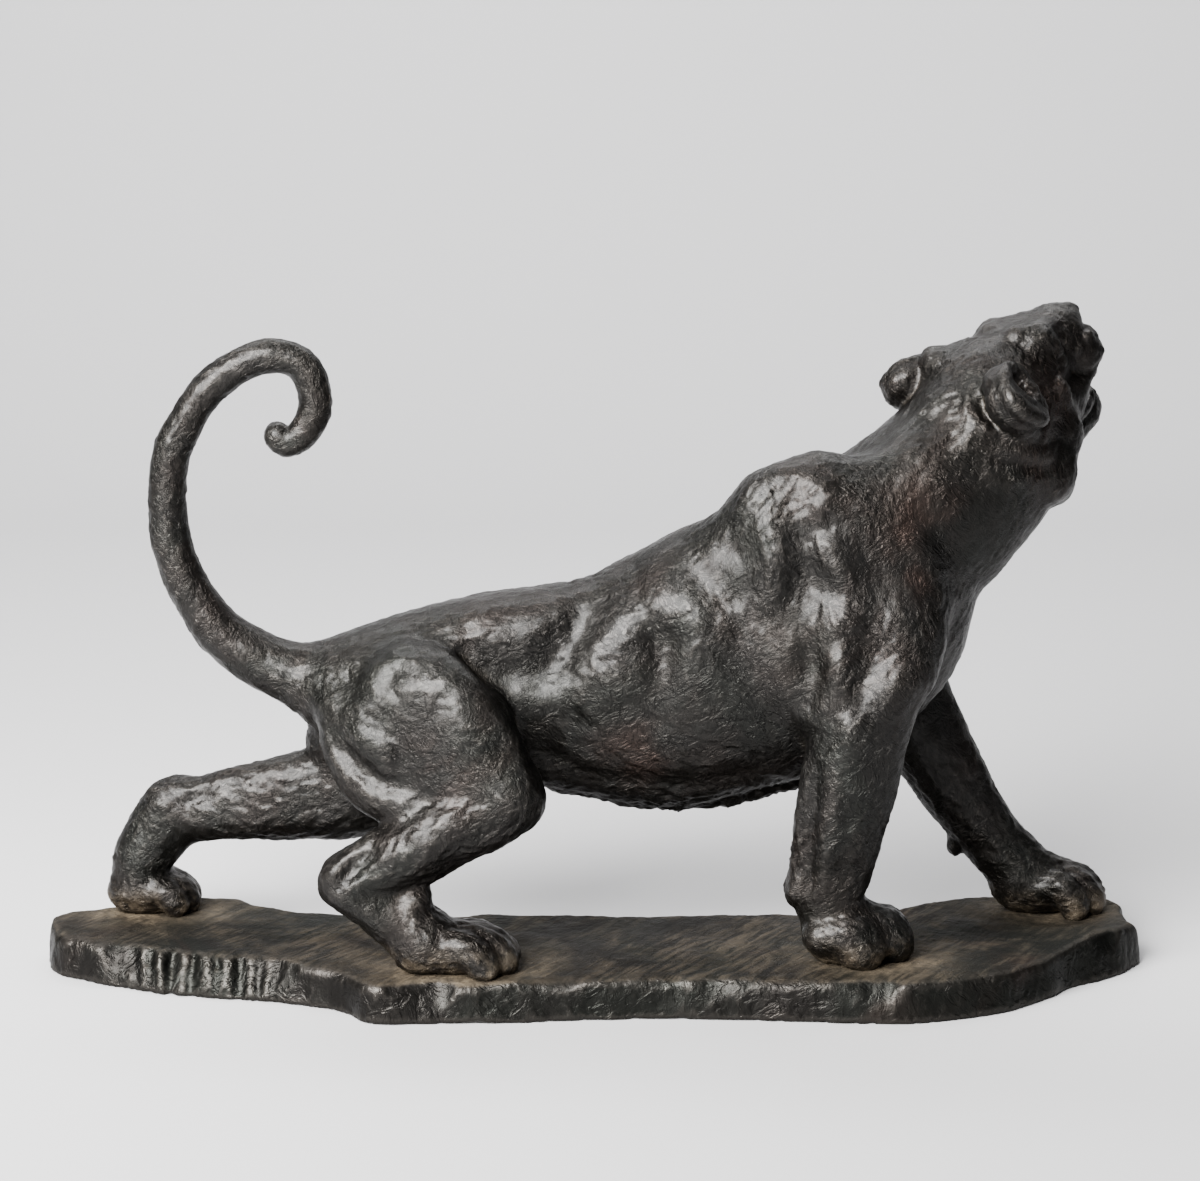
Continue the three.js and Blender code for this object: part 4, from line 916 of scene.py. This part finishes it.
def relief_tree():
    """Geometry nodes: lifts the skin along its normals by the stored strokes and by fine crumpling."""
    tree = bpy.data.node_groups.new("Cast skin relief", "GeometryNodeTree")
    sockets = {}
    face = tree.interface
    face.new_socket("Geometry", in_out="INPUT", socket_type="NodeSocketGeometry")
    for name, value in (("Stroke height", 0.0003), ("Crumple height", 0.0002), ("Crumple size", 0.004)):
        socket = face.new_socket(name, in_out="INPUT", socket_type="NodeSocketFloat")
        socket.subtype = "DISTANCE"
        socket.default_value = value
        sockets[name] = socket.identifier
    seed = face.new_socket("Seed", in_out="INPUT", socket_type="NodeSocketInt")
    seed.default_value = 7
    sockets["Seed"] = seed.identifier
    material = face.new_socket("Material", in_out="INPUT", socket_type="NodeSocketMaterial")
    sockets["Material"] = material.identifier
    face.new_socket("Geometry", in_out="OUTPUT", socket_type="NodeSocketGeometry")
    nodes = tree.nodes
    inside, outside = nodes.new("NodeGroupInput"), nodes.new("NodeGroupOutput")
    strokes, crumple = [nodes.new("GeometryNodeInputNamedAttribute") for _ in range(2)]
    for node, key in ((strokes, "strokes"), (crumple, "crumple")):
        node.data_type = "FLOAT"
        node.inputs["Name"].default_value = key
    place = nodes.new("GeometryNodeInputPosition")
    pattern = nodes.new("ShaderNodeTexNoise")
    pattern.noise_dimensions = "4D"
    pattern.inputs["Detail"].default_value = 2.0
    pattern.inputs["Distortion"].default_value = 1.2
    link(tree, place, "Position", pattern, "Vector")
    tree.links.new(add_math(tree, "DIVIDE", 1.0, inside.outputs["Crumple size"]), pattern.inputs["Scale"])
    link(tree, inside, "Seed", pattern, "W")
    fine = add_math(tree, "MULTIPLY", add_math(tree, "SUBTRACT", pattern.outputs[0], 0.5),
                    inside.outputs["Crumple height"])
    fine = add_math(tree, "MULTIPLY", add_math(tree, "MULTIPLY", fine, 2.0), crumple.outputs[0])
    raised = add_math(tree, "MULTIPLY", strokes.outputs[0], inside.outputs["Stroke height"])
    lift = add_math(tree, "ADD", raised, fine)
    normal = nodes.new("GeometryNodeInputNormal")
    offset = nodes.new("ShaderNodeVectorMath")
    offset.operation = "SCALE"
    link(tree, normal, "Normal", offset, 0)
    tree.links.new(lift, offset.inputs["Scale"])
    move = nodes.new("GeometryNodeSetPosition")
    link(tree, inside, "Geometry", move, "Geometry")
    link(tree, offset, "Vector", move, "Offset")
    smooth = nodes.new("GeometryNodeSetShadeSmooth")
    link(tree, move, "Geometry", smooth, "Geometry")
    real = nodes.new("GeometryNodeRealizeInstances")
    link(tree, smooth, "Geometry", real, "Geometry")
    paint = nodes.new("GeometryNodeSetMaterial")
    link(tree, real, "Geometry", paint, "Geometry")
    link(tree, inside, "Material", paint, "Material")
    link(tree, paint, "Geometry", outside, "Geometry")
    return tree, sockets


def lift_relief(obj, material, values):
    """The object with its relief as plain geometry, in this material."""
    tree, sockets = relief_tree()
    modifier = obj.modifiers.new("Relief", "NODES")
    modifier.node_group = tree
    for name, value in values.items():
        modifier[sockets[name]] = value
    modifier[sockets["Material"]] = material
    return baked(obj, obj.data.name)


# Materials

class Paint:
    """Small helpers for one node material."""

    def __init__(self, name):
        self.material = bpy.data.materials.new(name)
        self.material.use_nodes = True
        self.tree = self.material.node_tree
        self.shader = self.tree.nodes["Principled BSDF"]
        self.place = self.tree.nodes.new("ShaderNodeTexCoord").outputs["Object"]

    def stretched(self, size, turn=(0, 0, 0)):
        """Object places measured in cells of this size, turned; the first side is the long one."""
        node = self.tree.nodes.new("ShaderNodeMapping")
        node.vector_type = "TEXTURE"
        node.inputs["Scale"].default_value = size
        node.inputs["Rotation"].default_value = turn
        self.tree.links.new(self.place, node.inputs["Vector"])
        return node.outputs[0]

    def split(self, vector):
        """The x, y and z of a vector."""
        node = self.tree.nodes.new("ShaderNodeSeparateXYZ")
        self.tree.links.new(vector, node.inputs[0])
        return node.outputs

    def noise(self, scale, detail=3.0, rough=0.55, twist=0.0, vector=None):
        node = self.tree.nodes.new("ShaderNodeTexNoise")
        node.inputs["Scale"].default_value = scale
        node.inputs["Detail"].default_value = detail
        node.inputs["Roughness"].default_value = rough
        node.inputs["Distortion"].default_value = twist
        self.tree.links.new(vector or self.place, node.inputs["Vector"])
        return node.outputs["Fac"]

    def stored(self, name):
        node = self.tree.nodes.new("ShaderNodeAttribute")
        node.attribute_name = name
        return node.outputs["Fac"]

    def ramp(self, value, low, high, a=0.0, b=1.0):
        """Runs smoothly from a at the low value to b at the high one."""
        node = self.tree.nodes.new("ShaderNodeMapRange")
        node.interpolation_type = "SMOOTHSTEP"
        for key, number in (("From Min", low), ("From Max", high), ("To Min", a), ("To Max", b)):
            node.inputs[key].default_value = number
        self.tree.links.new(value, node.inputs["Value"])
        return node.outputs["Result"]

    def blend(self, share, a, b):
        node = self.tree.nodes.new("ShaderNodeMix")
        node.data_type = "RGBA"
        self.tree.links.new(share, node.inputs["Factor"])
        for key, value in (("A", a), ("B", b)):
            socket = next(s for s in node.inputs if s.name == key and s.type == "RGBA")
            if hasattr(value, "links"):
                self.tree.links.new(value, socket)
            else:
                socket.default_value = (*value, 1)
        return next(s for s in node.outputs if s.type == "RGBA")

    def maths(self, operation, a, b, clamp=False):
        return add_math(self.tree, operation, a, b, clamp)

    def times(self, a, b):
        return self.maths("MULTIPLY", a, b)

    def bump(self, height, distance, strength, before=None):
        node = self.tree.nodes.new("ShaderNodeBump")
        node.inputs["Distance"].default_value = distance
        node.inputs["Strength"].default_value = strength
        self.tree.links.new(height, node.inputs["Height"])
        if before is not None:
            self.tree.links.new(before, node.inputs["Normal"])
        return node.outputs["Normal"]

    def finish(self, color, roughness, normal, metallic, **fixed):
        """Joins these to the shader; the fixed ones are plain numbers on its own sockets."""
        joined = (("Base Color", color), ("Roughness", roughness), ("Normal", normal), ("Metallic", metallic))
        for key, value in joined:
            if isinstance(value, (int, float)):
                self.shader.inputs[key].default_value = value
            else:
                self.tree.links.new(value, self.shader.inputs[key])
        for key, value in fixed.items():
            self.shader.inputs[key.replace("_", " ")].default_value = value
        return self.material


def hand_marks(paint, wide, long, height):
    """Bump of short strokes that lie three ways, each way in its own patches, and fade out between them."""
    patch = paint.noise(38, 2, 0.5, 0.6)
    marks = None
    for turn, low in (((0.2, 0.7, 0.3), 0.3), ((-0.3, -0.5, -0.4), 0.46), ((0.4, 1.35, 0.2), 0.55)):
        n = paint.noise(1, 3, 0.6, 0.7, paint.stretched((long, wide, wide), turn))
        ridge = paint.ramp(n, 0.41, 0.57)
        if marks is None:
            marks = ridge
            continue
        share = paint.ramp(patch, low, low + 0.05)
        kept = paint.times(marks, paint.maths("SUBTRACT", 1.0, share))
        marks = paint.maths("ADD", kept, paint.times(ridge, share))
    worked = paint.ramp(paint.noise(30, 3, 0.6, 0.8), 0.36, 0.6, 0.2, 1)
    return paint.bump(paint.times(marks, worked), height, 0.6)


def tiger_bronze(look):
    """Dark patina with warm and green clouds, ridges rubbed lighter, dust near the ground, and hand marks."""
    paint = Paint("tiger_bronze")
    fine = paint.stored("fine_hollow")
    broad = paint.stored("broad_hollow")
    clouds = paint.noise(16, 4, 0.6, 0.6)
    color = paint.blend(paint.ramp(clouds, 0.42, 0.66), tuple(look.patina), tuple(look.green_patina))
    warm = paint.noise(21, 3, 0.55, 0.9, paint.stretched((1, 1, 1.2), (0.4, 0.2, 0.9)))
    worn = paint.ramp(paint.stored("warmth"), 0, 1, 0.25, 1)
    warm = paint.times(paint.ramp(warm, 0.4, 0.7), worn)
    color = paint.blend(warm, color, tuple(look.warm_patina))
    rubbed = paint.ramp(paint.times(fine, -1.0), 0.05, 0.35, 0, 0.3)
    rubbed = paint.times(rubbed, paint.ramp(paint.noise(240, 3), 0.3, 0.7))
    color = paint.blend(rubbed, color, tuple(look.rubbed))
    low = paint.ramp(paint.split(paint.place)["Z"], 0.020, 0.036, 1, 0)
    dusty = paint.times(low, paint.ramp(paint.noise(90, 4, 0.7), 0.38, 0.62))
    crease = paint.ramp(broad, 1.2, 3.2, 0, 0.12)
    dusty = paint.maths("MAXIMUM", paint.times(dusty, 0.55), crease, True)
    color = paint.blend(dusty, color, tuple(look.dust))
    rough = paint.ramp(paint.noise(38, 4, 0.6, 0.5), 0.3, 0.7, look.roughness - 0.12, look.roughness + 0.03)
    rough = paint.maths("ADD", rough, paint.times(paint.noise(420, 3, 0.7), 0.2))
    rough = paint.maths("ADD", rough, paint.times(dusty, 0.35), True)
    normal = hand_marks(paint, 0.0026, 0.0075, 0.0010)
    normal = paint.bump(paint.noise(430, 4, 0.6, 1.2), 0.0008, 0.6, normal)
    normal = paint.bump(paint.noise(2300, 2, 0.6), 0.00012, 0.35, normal)
    metal = paint.maths("SUBTRACT", look.metallic, paint.times(dusty, 0.7), True)
    return paint.finish(color, rough, normal, metal, Coat_Weight=0.25, Coat_Roughness=0.32)


def base_bronze(look):
    """The same patina, more worn and matt on top, with dust where the paws stand."""
    paint = Paint("base_bronze")
    fine = paint.stored("fine_hollow")
    clouds = paint.noise(14, 4, 0.6, 0.8)
    color = paint.blend(paint.ramp(clouds, 0.4, 0.64), tuple(look.patina), tuple(look.green_patina))
    warm = paint.noise(13, 3, 0.55, 0.9, paint.stretched((1, 1, 1.2), (0.2, 0.5, 0.3)))
    color = paint.blend(paint.ramp(warm, 0.55, 0.75, 0, 0.6), color, tuple(look.warm_patina))
    rubbed = paint.ramp(paint.times(fine, -1.0), 0.05, 0.4, 0, 0.3)
    color = paint.blend(rubbed, color, tuple(look.rubbed))
    facing = paint.tree.nodes.new("ShaderNodeNewGeometry").outputs["Normal"]
    top = paint.ramp(paint.split(facing)["Z"], 0.6, 0.95)
    brushed = paint.noise(1, 4, 0.6, 0.6, paint.stretched((0.024, 0.0034, 0.01), (0, 0, 1.0)))
    patches = paint.ramp(paint.noise(22, 5, 0.65, 0.7), 0.40, 0.64)
    patches = paint.times(patches, paint.ramp(brushed, 0.38, 0.62, 0.1, 1))
    near = paint.stored("dust")
    dusty = paint.times(paint.times(top, patches), 0.3)
    speckled = paint.times(near, paint.ramp(paint.noise(110, 4, 0.7), 0.3, 0.65, 0.3, 1))
    speckled = paint.times(speckled, top)
    dusty = paint.maths("ADD", dusty, speckled, True)
    color = paint.blend(dusty, color, tuple(look.dust))
    rough = paint.ramp(paint.noise(46, 4, 0.6, 0.5), 0.3, 0.7, look.roughness, look.roughness + 0.12)
    rough = paint.maths("ADD", rough, paint.times(top, 0.3), True)
    normal = hand_marks(paint, 0.0045, 0.013, 0.0005)
    normal = paint.bump(paint.times(brushed, top), 0.0012, 0.5, normal)
    normal = paint.bump(paint.noise(400, 3, 0.6, 0.8), 0.0004, 0.5, normal)
    normal = paint.bump(paint.noise(2100, 2, 0.6), 0.00014, 0.4, normal)
    metal = paint.maths("SUBTRACT", look.metallic, paint.times(dusty, 0.6), True)
    return paint.finish(color, rough, normal, metal)


def studio_paper(look):
    """Matt pale paper, with painted shade that darkens it a little in front of the object."""
    paint = Paint("studio_paper")
    # Painted shade: the paper's colour runs down to seven tenths of itself towards the front of the floor
    front = paint.ramp(paint.split(paint.place)["Y"], -0.5, 0.2, 1, 0)
    color = paint.blend(front, tuple(look.paper), tuple(0.7 * v for v in look.paper))
    grain = paint.noise(900, 2)
    return paint.finish(color, 0.62, paint.bump(grain, 0.0001, 0.1), 0.0)


# Properties

class BronzeLook(bpy.types.PropertyGroup):
    """Colours and gloss shared by the two castings."""

    patina: FloatVectorProperty(name="Patina", description="Dark ground of the patina", subtype="COLOR",
                                size=3, min=0, max=1, default=(0.0150, 0.0139, 0.0129))
    green_patina: FloatVectorProperty(name="Green patina", description="Cooler clouds in the patina",
                                      subtype="COLOR", size=3, min=0, max=1, default=(0.0148, 0.0153, 0.0137))
    warm_patina: FloatVectorProperty(name="Warm patina", description="Reddish clouds in the patina",
                                     subtype="COLOR", size=3, min=0, max=1, default=(0.029, 0.0185, 0.0150))
    rubbed: FloatVectorProperty(name="Rubbed", description="Ridges rubbed lighter", subtype="COLOR",
                                size=3, min=0, max=1, default=(0.070, 0.064, 0.058))
    dust: FloatVectorProperty(name="Dust", description="Dust in the creases", subtype="COLOR",
                              size=3, min=0, max=1, default=(0.135, 0.108, 0.075))
    roughness: FloatProperty(name="Roughness", description="Gloss of the patina", subtype="FACTOR",
                             min=0.05, max=1, default=0.37)
    metallic: FloatProperty(name="Metallic", description="How far the metal shows through", subtype="FACTOR",
                            min=0, max=1, default=0.85)


class TigerSizes(bpy.types.PropertyGroup):
    """Fineness and relief of the tiger."""

    step: FloatProperty(name="Net step", description="Spacing of the net before it is thinned, in millimetres",
                        min=0.8, max=4, default=1.4)
    stroke_height: FloatProperty(name="Stroke height", description="Height of the tool strokes", unit="LENGTH",
                                 min=0, max=0.002, default=0.0006)
    crumple_height: FloatProperty(name="Crumple height", description="Height of the fine crumpling",
                                  unit="LENGTH", min=0, max=0.002, default=0.0004)
    strokes: IntProperty(name="Strokes", description="How many tool strokes cover the tiger", min=0, max=60000,
                         default=26000)
    faces: IntProperty(name="Faces", description="Most triangles kept", min=10000, max=199000, default=196000)


class BaseSizes(bpy.types.PropertyGroup):
    """Fineness and relief of the base."""

    step: FloatProperty(name="Net step", description="Spacing of the net before it is thinned, in millimetres",
                        min=0.8, max=4, default=1.5)
    stroke_height: FloatProperty(name="Stroke height", description="Height of the tool strokes", unit="LENGTH",
                                 min=0, max=0.002, default=0.0006)
    crumple_height: FloatProperty(name="Crumple height", description="Height of the coarse crumpling",
                                  unit="LENGTH", min=0, max=0.002, default=0.0005)
    strokes: IntProperty(name="Strokes", description="How many tool strokes cover the base", min=0, max=60000,
                         default=12000)
    faces: IntProperty(name="Faces", description="Most triangles kept", min=10000, max=199000, default=110000)


class StudioLook(bpy.types.PropertyGroup):
    """Backdrop and lights."""

    paper: FloatVectorProperty(name="Paper", description="Floor and backdrop", subtype="COLOR",
                               size=3, min=0, max=1, default=(0.46, 0.46, 0.468))
    key: FloatProperty(name="Key light", description="Power of the large light at the upper left", unit="POWER",
                       min=0, default=140)
    fill: FloatProperty(name="Fill light", description="Power of the light at the right", unit="POWER",
                        min=0, default=2.5)
    top: FloatProperty(name="Top light", description="Power of the light overhead", unit="POWER",
                       min=0, default=2)
    back: FloatProperty(name="Backdrop light", description="Power of the light over the backdrop", unit="POWER",
                        min=0, default=42)
    front: FloatProperty(name="Front floor light", description="Power of the light over the floor in front",
                         unit="POWER", min=0, default=70)
    ambient: FloatProperty(name="Ambient", description="Brightness all round", min=0, default=0.065)


# Pieces

def cast_piece(name, points, quads, attributes, material, relief, faces):
    """The net as an object: centred, its relief lifted, its hollows marked and its flattest faces merged."""
    centred = points + (0, base_outline()[1], 0)
    obj = lift_relief(net_object(name, centred, quads, attributes), material, relief)
    store_hollows(obj.data)
    obj = thin_to(obj, faces)
    obj.data.shade_smooth()
    return obj


def quick_share(number):
    return number // 1


# Where the patina is worn to a reddish tone, and how far that reaches: cheek, chin, neck, breast, belly, thigh
WARM_PLACES = [
    ((205, -2, 268), 14), ((206, -10, 246), 14), ((150, -30, 222), 18),
    ((145, -34, 200), 16), ((20, -30, 112), 16), ((-66, -50, 120), 14),
]

# Where dust lies round the paws on the base: x, y and how far it reaches
DUSTY_PLACES = [(-60, -42, 34), (128, -30, 26), (218, 47, 28), (-210, 46, 28)]


class SCULPTURE_OT_tiger(bpy.types.Operator):
    """Models the tiger's casting"""

    bl_idname = "sculpture.tiger"
    bl_label = "Tiger"

    def execute(self, context):
        sizes = context.scene.tiger_sizes
        clay = model_tiger()
        points, quads = clay_skin(clay, *TIGER_ROOM, sizes.step)
        normals = point_normals(points, quads)
        strength = self.strength(points)
        lie = lie_of_hair(clay, points, 11)
        strokes = comb_strokes(points, normals, lie, strength, quick_share(sizes.strokes), 5)
        strokes += strength * (1.1 * noise(points, 13, 77) + 0.7 * noise(points, 6.5, 78))
        warmth = np.zeros(len(points))
        for place, reach in WARM_PLACES:
            warmth += np.exp(-((points - place) ** 2).sum(1) / reach**2)
        attributes = {"strokes": strokes, "crumple": strength, "warmth": np.clip(warmth, 0, 1)}
        relief = {"Stroke height": sizes.stroke_height, "Crumple height": sizes.crumple_height,
                  "Crumple size": 0.0045, "Seed": 7}
        obj = cast_piece("tiger_casting", points, quads, attributes, tiger_bronze(context.scene.bronze_look),
                         relief, sizes.faces)
        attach(obj, "root")
        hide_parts("tiger")
        return {"FINISHED"}

    @staticmethod
    def strength(p):
        """How strongly the skin is worked: most on legs, fringe and shoulder, least on the back and face."""
        x, z = p[:, 0], p[:, 2]
        legs = smooth_step(-z, -120, -80)
        fringe = 0.6 * smooth_step(-z, -96, -88) * smooth_step(x, -20, 0) * smooth_step(-x, -100, -84)
        blade = np.exp(-(((x - 88) / 26) ** 2 + ((z - 222) / 22) ** 2))
        neck = 0.2 * smooth_step(z, 215, 245) * smooth_step(x, 110, 140)
        return (0.7 + 0.5 * legs + fringe + 0.5 * blade + neck) * (0.8 + 0.35 * noise(p, 18, 3))


class SCULPTURE_OT_base(bpy.types.Operator):
    """Models the base's casting"""

    bl_idname = "sculpture.base"
    bl_label = "Base"

    def execute(self, context):
        sizes = context.scene.base_sizes
        points, quads = clay_skin(Slab(), *BASE_ROOM, sizes.step)
        points[:, 2] = np.where(points[:, 2] < FLAT_UNDER, 0, points[:, 2])
        normals = point_normals(points, quads)
        free = smooth_step(points[:, 2], 0.5, 3)
        lie = (0.9, -0.42, 0.0) + 0.3 * np.stack([noise(points, 30, 40 + i) for i in range(3)], 1)
        wall = 1 - np.abs(normals[:, 2])
        lie = lie * (1 - wall[:, None]) + wall[:, None] * np.array([0.1, 0.1, 1.0])
        x, y = points[:, 0], points[:, 1]
        marked = smooth_step(x, -212, -200) * smooth_step(-x, 118, 128)
        strength = free * (0.5 + 0.22 * wall * (1 + 1.6 * marked)) * (0.8 + 0.4 * noise(points, 22, 9))
        strokes = 0.7 * comb_strokes(points, normals, lie, strength, quick_share(sizes.strokes), 21)
        strokes += strength * (1.2 * noise(points, 11, 78) + 0.7 * noise(points, 6, 79))
        dust = np.zeros(len(points))
        for px, py, reach in DUSTY_PLACES:
            dust += np.exp(-(((x - px) ** 2 + ((y - py) * 1.3) ** 2) / reach**2))
        attributes = {"strokes": strokes, "crumple": strength * 1.2, "dust": np.clip(dust, 0, 1) * free}
        relief = {"Stroke height": sizes.stroke_height, "Crumple height": sizes.crumple_height,
                  "Crumple size": 0.011, "Seed": 3}
        obj = cast_piece("base_casting", points, quads, attributes, base_bronze(context.scene.bronze_look),
                         relief, sizes.faces)
        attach(obj, "root")
        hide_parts("base")
        return {"FINISHED"}


class SCULPTURE_OT_stage(bpy.types.Operator):
    """Sets up the pale backdrop, the soft lights and the camera"""

    bl_idname = "sculpture.stage"
    bl_label = "Studio"

    def execute(self, context):
        look = context.scene.studio_look
        self.backdrop(look)
        for light in (
            ("Key light", (-0.72, -1.08, 0.95), (0.0, 0.0, 0.14), (1.2, 0.95), look.key, (1, 0.99, 0.975)),
            ("Fill light", (1.15, -0.95, 0.75), (0.05, 0.0, 0.12), (0.8, 0.8), look.fill, (0.96, 0.98, 1)),
            ("Top light", (0.1, 0.1, 1.35), (0.0, 0.0, 0.1), (1.3, 0.8), look.top, (1, 1, 1)),
            ("Backdrop light", (0.0, 1.0, 1.75), (0.0, 1.15, 0.0), (2.6, 0.6), look.back, (1, 1, 1)),
            ("Front floor light", (0.0, -2.2, 1.9), (0.0, -3.9, 0.0), (4.0, 0.8), look.front, (1, 1, 1)),
        ):
            self.light(*light)
        world = bpy.data.worlds.new("Studio air")
        world.use_nodes = True
        air = world.node_tree.nodes["Background"].inputs
        air["Color"].default_value = (1, 1, 1, 1)
        air["Strength"].default_value = look.ambient
        context.scene.world = world
        context.scene.view_settings.look = "AgX - Medium High Contrast"
        self.camera(context)
        return {"FINISHED"}

    @staticmethod
    def camera(context):
        """The photo's viewpoint: a long lens, level from side to side and looking down a little."""
        pitch = math.radians(CAMERA_PITCH)
        data = bpy.data.cameras.new("Camera")
        data.sensor_fit = "HORIZONTAL"
        data.sensor_width = SENSOR_WIDTH
        data.lens = LENS_IN_PIXELS * SENSOR_WIDTH / IMAGE_WIDTH
        data.clip_start = 0.05
        camera = bpy.data.objects.new("Camera", data)
        aim = (Vector(CAMERA_AIM) + Vector((0, base_outline()[1], 0))) * MM
        camera.location = aim - CAMERA_AWAY * Vector((0, math.cos(pitch), -math.sin(pitch)))
        camera.rotation_euler = (math.radians(90 - CAMERA_PITCH), 0, 0)
        context.scene.collection.objects.link(camera)
        context.scene.camera = camera

    @staticmethod
    def light(name, place, at, size, power, color):
        """A soft panel that faces the place it is aimed at."""
        data = bpy.data.lights.new(name, "AREA")
        data.shape = "RECTANGLE"
        data.size, data.size_y = size
        data.energy = power
        data.color = color
        lamp = bpy.data.objects.new(name, data)
        lamp.location = place
        lamp.rotation_euler = (Vector(at) - Vector(place)).to_track_quat("-Z", "Y").to_euler()
        bpy.context.scene.collection.objects.link(lamp)

    @staticmethod
    def backdrop(look):
        """A sheet that lies flat under the object and curves up behind it."""
        front, behind, radius, tall, half, steps = -9.0, 1.1, 0.9, 2.6, 5.0, 24
        line = [(front, 0.0), (behind, 0.0)]
        for i in range(1, steps + 1):
            a = math.pi / 2 * i / steps
            line.append((behind + radius * math.sin(a), radius * (1 - math.cos(a))))
        line.append((behind + radius, tall))
        bm = bmesh.new()
        rows = [[bm.verts.new((x, y, z)) for y, z in line] for x in (-half, half)]
        for i in range(len(line) - 1):
            bm.faces.new((rows[0][i], rows[1][i], rows[1][i + 1], rows[0][i + 1]))
        mesh = bpy.data.meshes.new("backdrop")
        bm.to_mesh(mesh)
        bm.free()
        mesh.shade_smooth()
        mesh.materials.append(studio_paper(look))
        obj = bpy.data.objects.new("backdrop", mesh)
        bpy.context.scene.collection.objects.link(obj)


class SCULPTURE_PT_panel(bpy.types.Panel):
    """Lists the pieces and their settings"""

    bl_idname = "SCULPTURE_PT_panel"
    bl_label = "Tiger Sculpture"
    bl_space_type = "VIEW_3D"
    bl_region_type = "UI"
    bl_category = "Tiger"

    def draw(self, context):
        layout = self.layout
        for title, group, operator in (
            ("Bronze", context.scene.bronze_look, None),
            ("Tiger", context.scene.tiger_sizes, "sculpture.tiger"),
            ("Base", context.scene.base_sizes, "sculpture.base"),
            ("Studio", context.scene.studio_look, "sculpture.stage"),
        ):
            box = layout.box()
            box.label(text=title)
            for key in group.__annotations__:
                box.prop(group, key)
            if operator:
                box.operator(operator)


CLASSES = (
    BronzeLook, TigerSizes, BaseSizes, StudioLook, SCULPTURE_OT_tiger, SCULPTURE_OT_base, SCULPTURE_OT_stage,
    SCULPTURE_PT_panel,
)
GROUPS = {
    "bronze_look": BronzeLook, "tiger_sizes": TigerSizes, "base_sizes": BaseSizes, "studio_look": StudioLook,
}


def register():
    for cls in CLASSES:
        bpy.utils.register_class(cls)
    for name, group in GROUPS.items():
        setattr(bpy.types.Scene, name, PointerProperty(type=group))


def unregister():
    for name in GROUPS:
        delattr(bpy.types.Scene, name)
    for cls in reversed(CLASSES):
        bpy.utils.unregister_class(cls)


def main():
    register()
    bpy.ops.sculpture.stage()
    bpy.ops.sculpture.base()
    bpy.ops.sculpture.tiger()


if __name__ == "__main__":
    main()
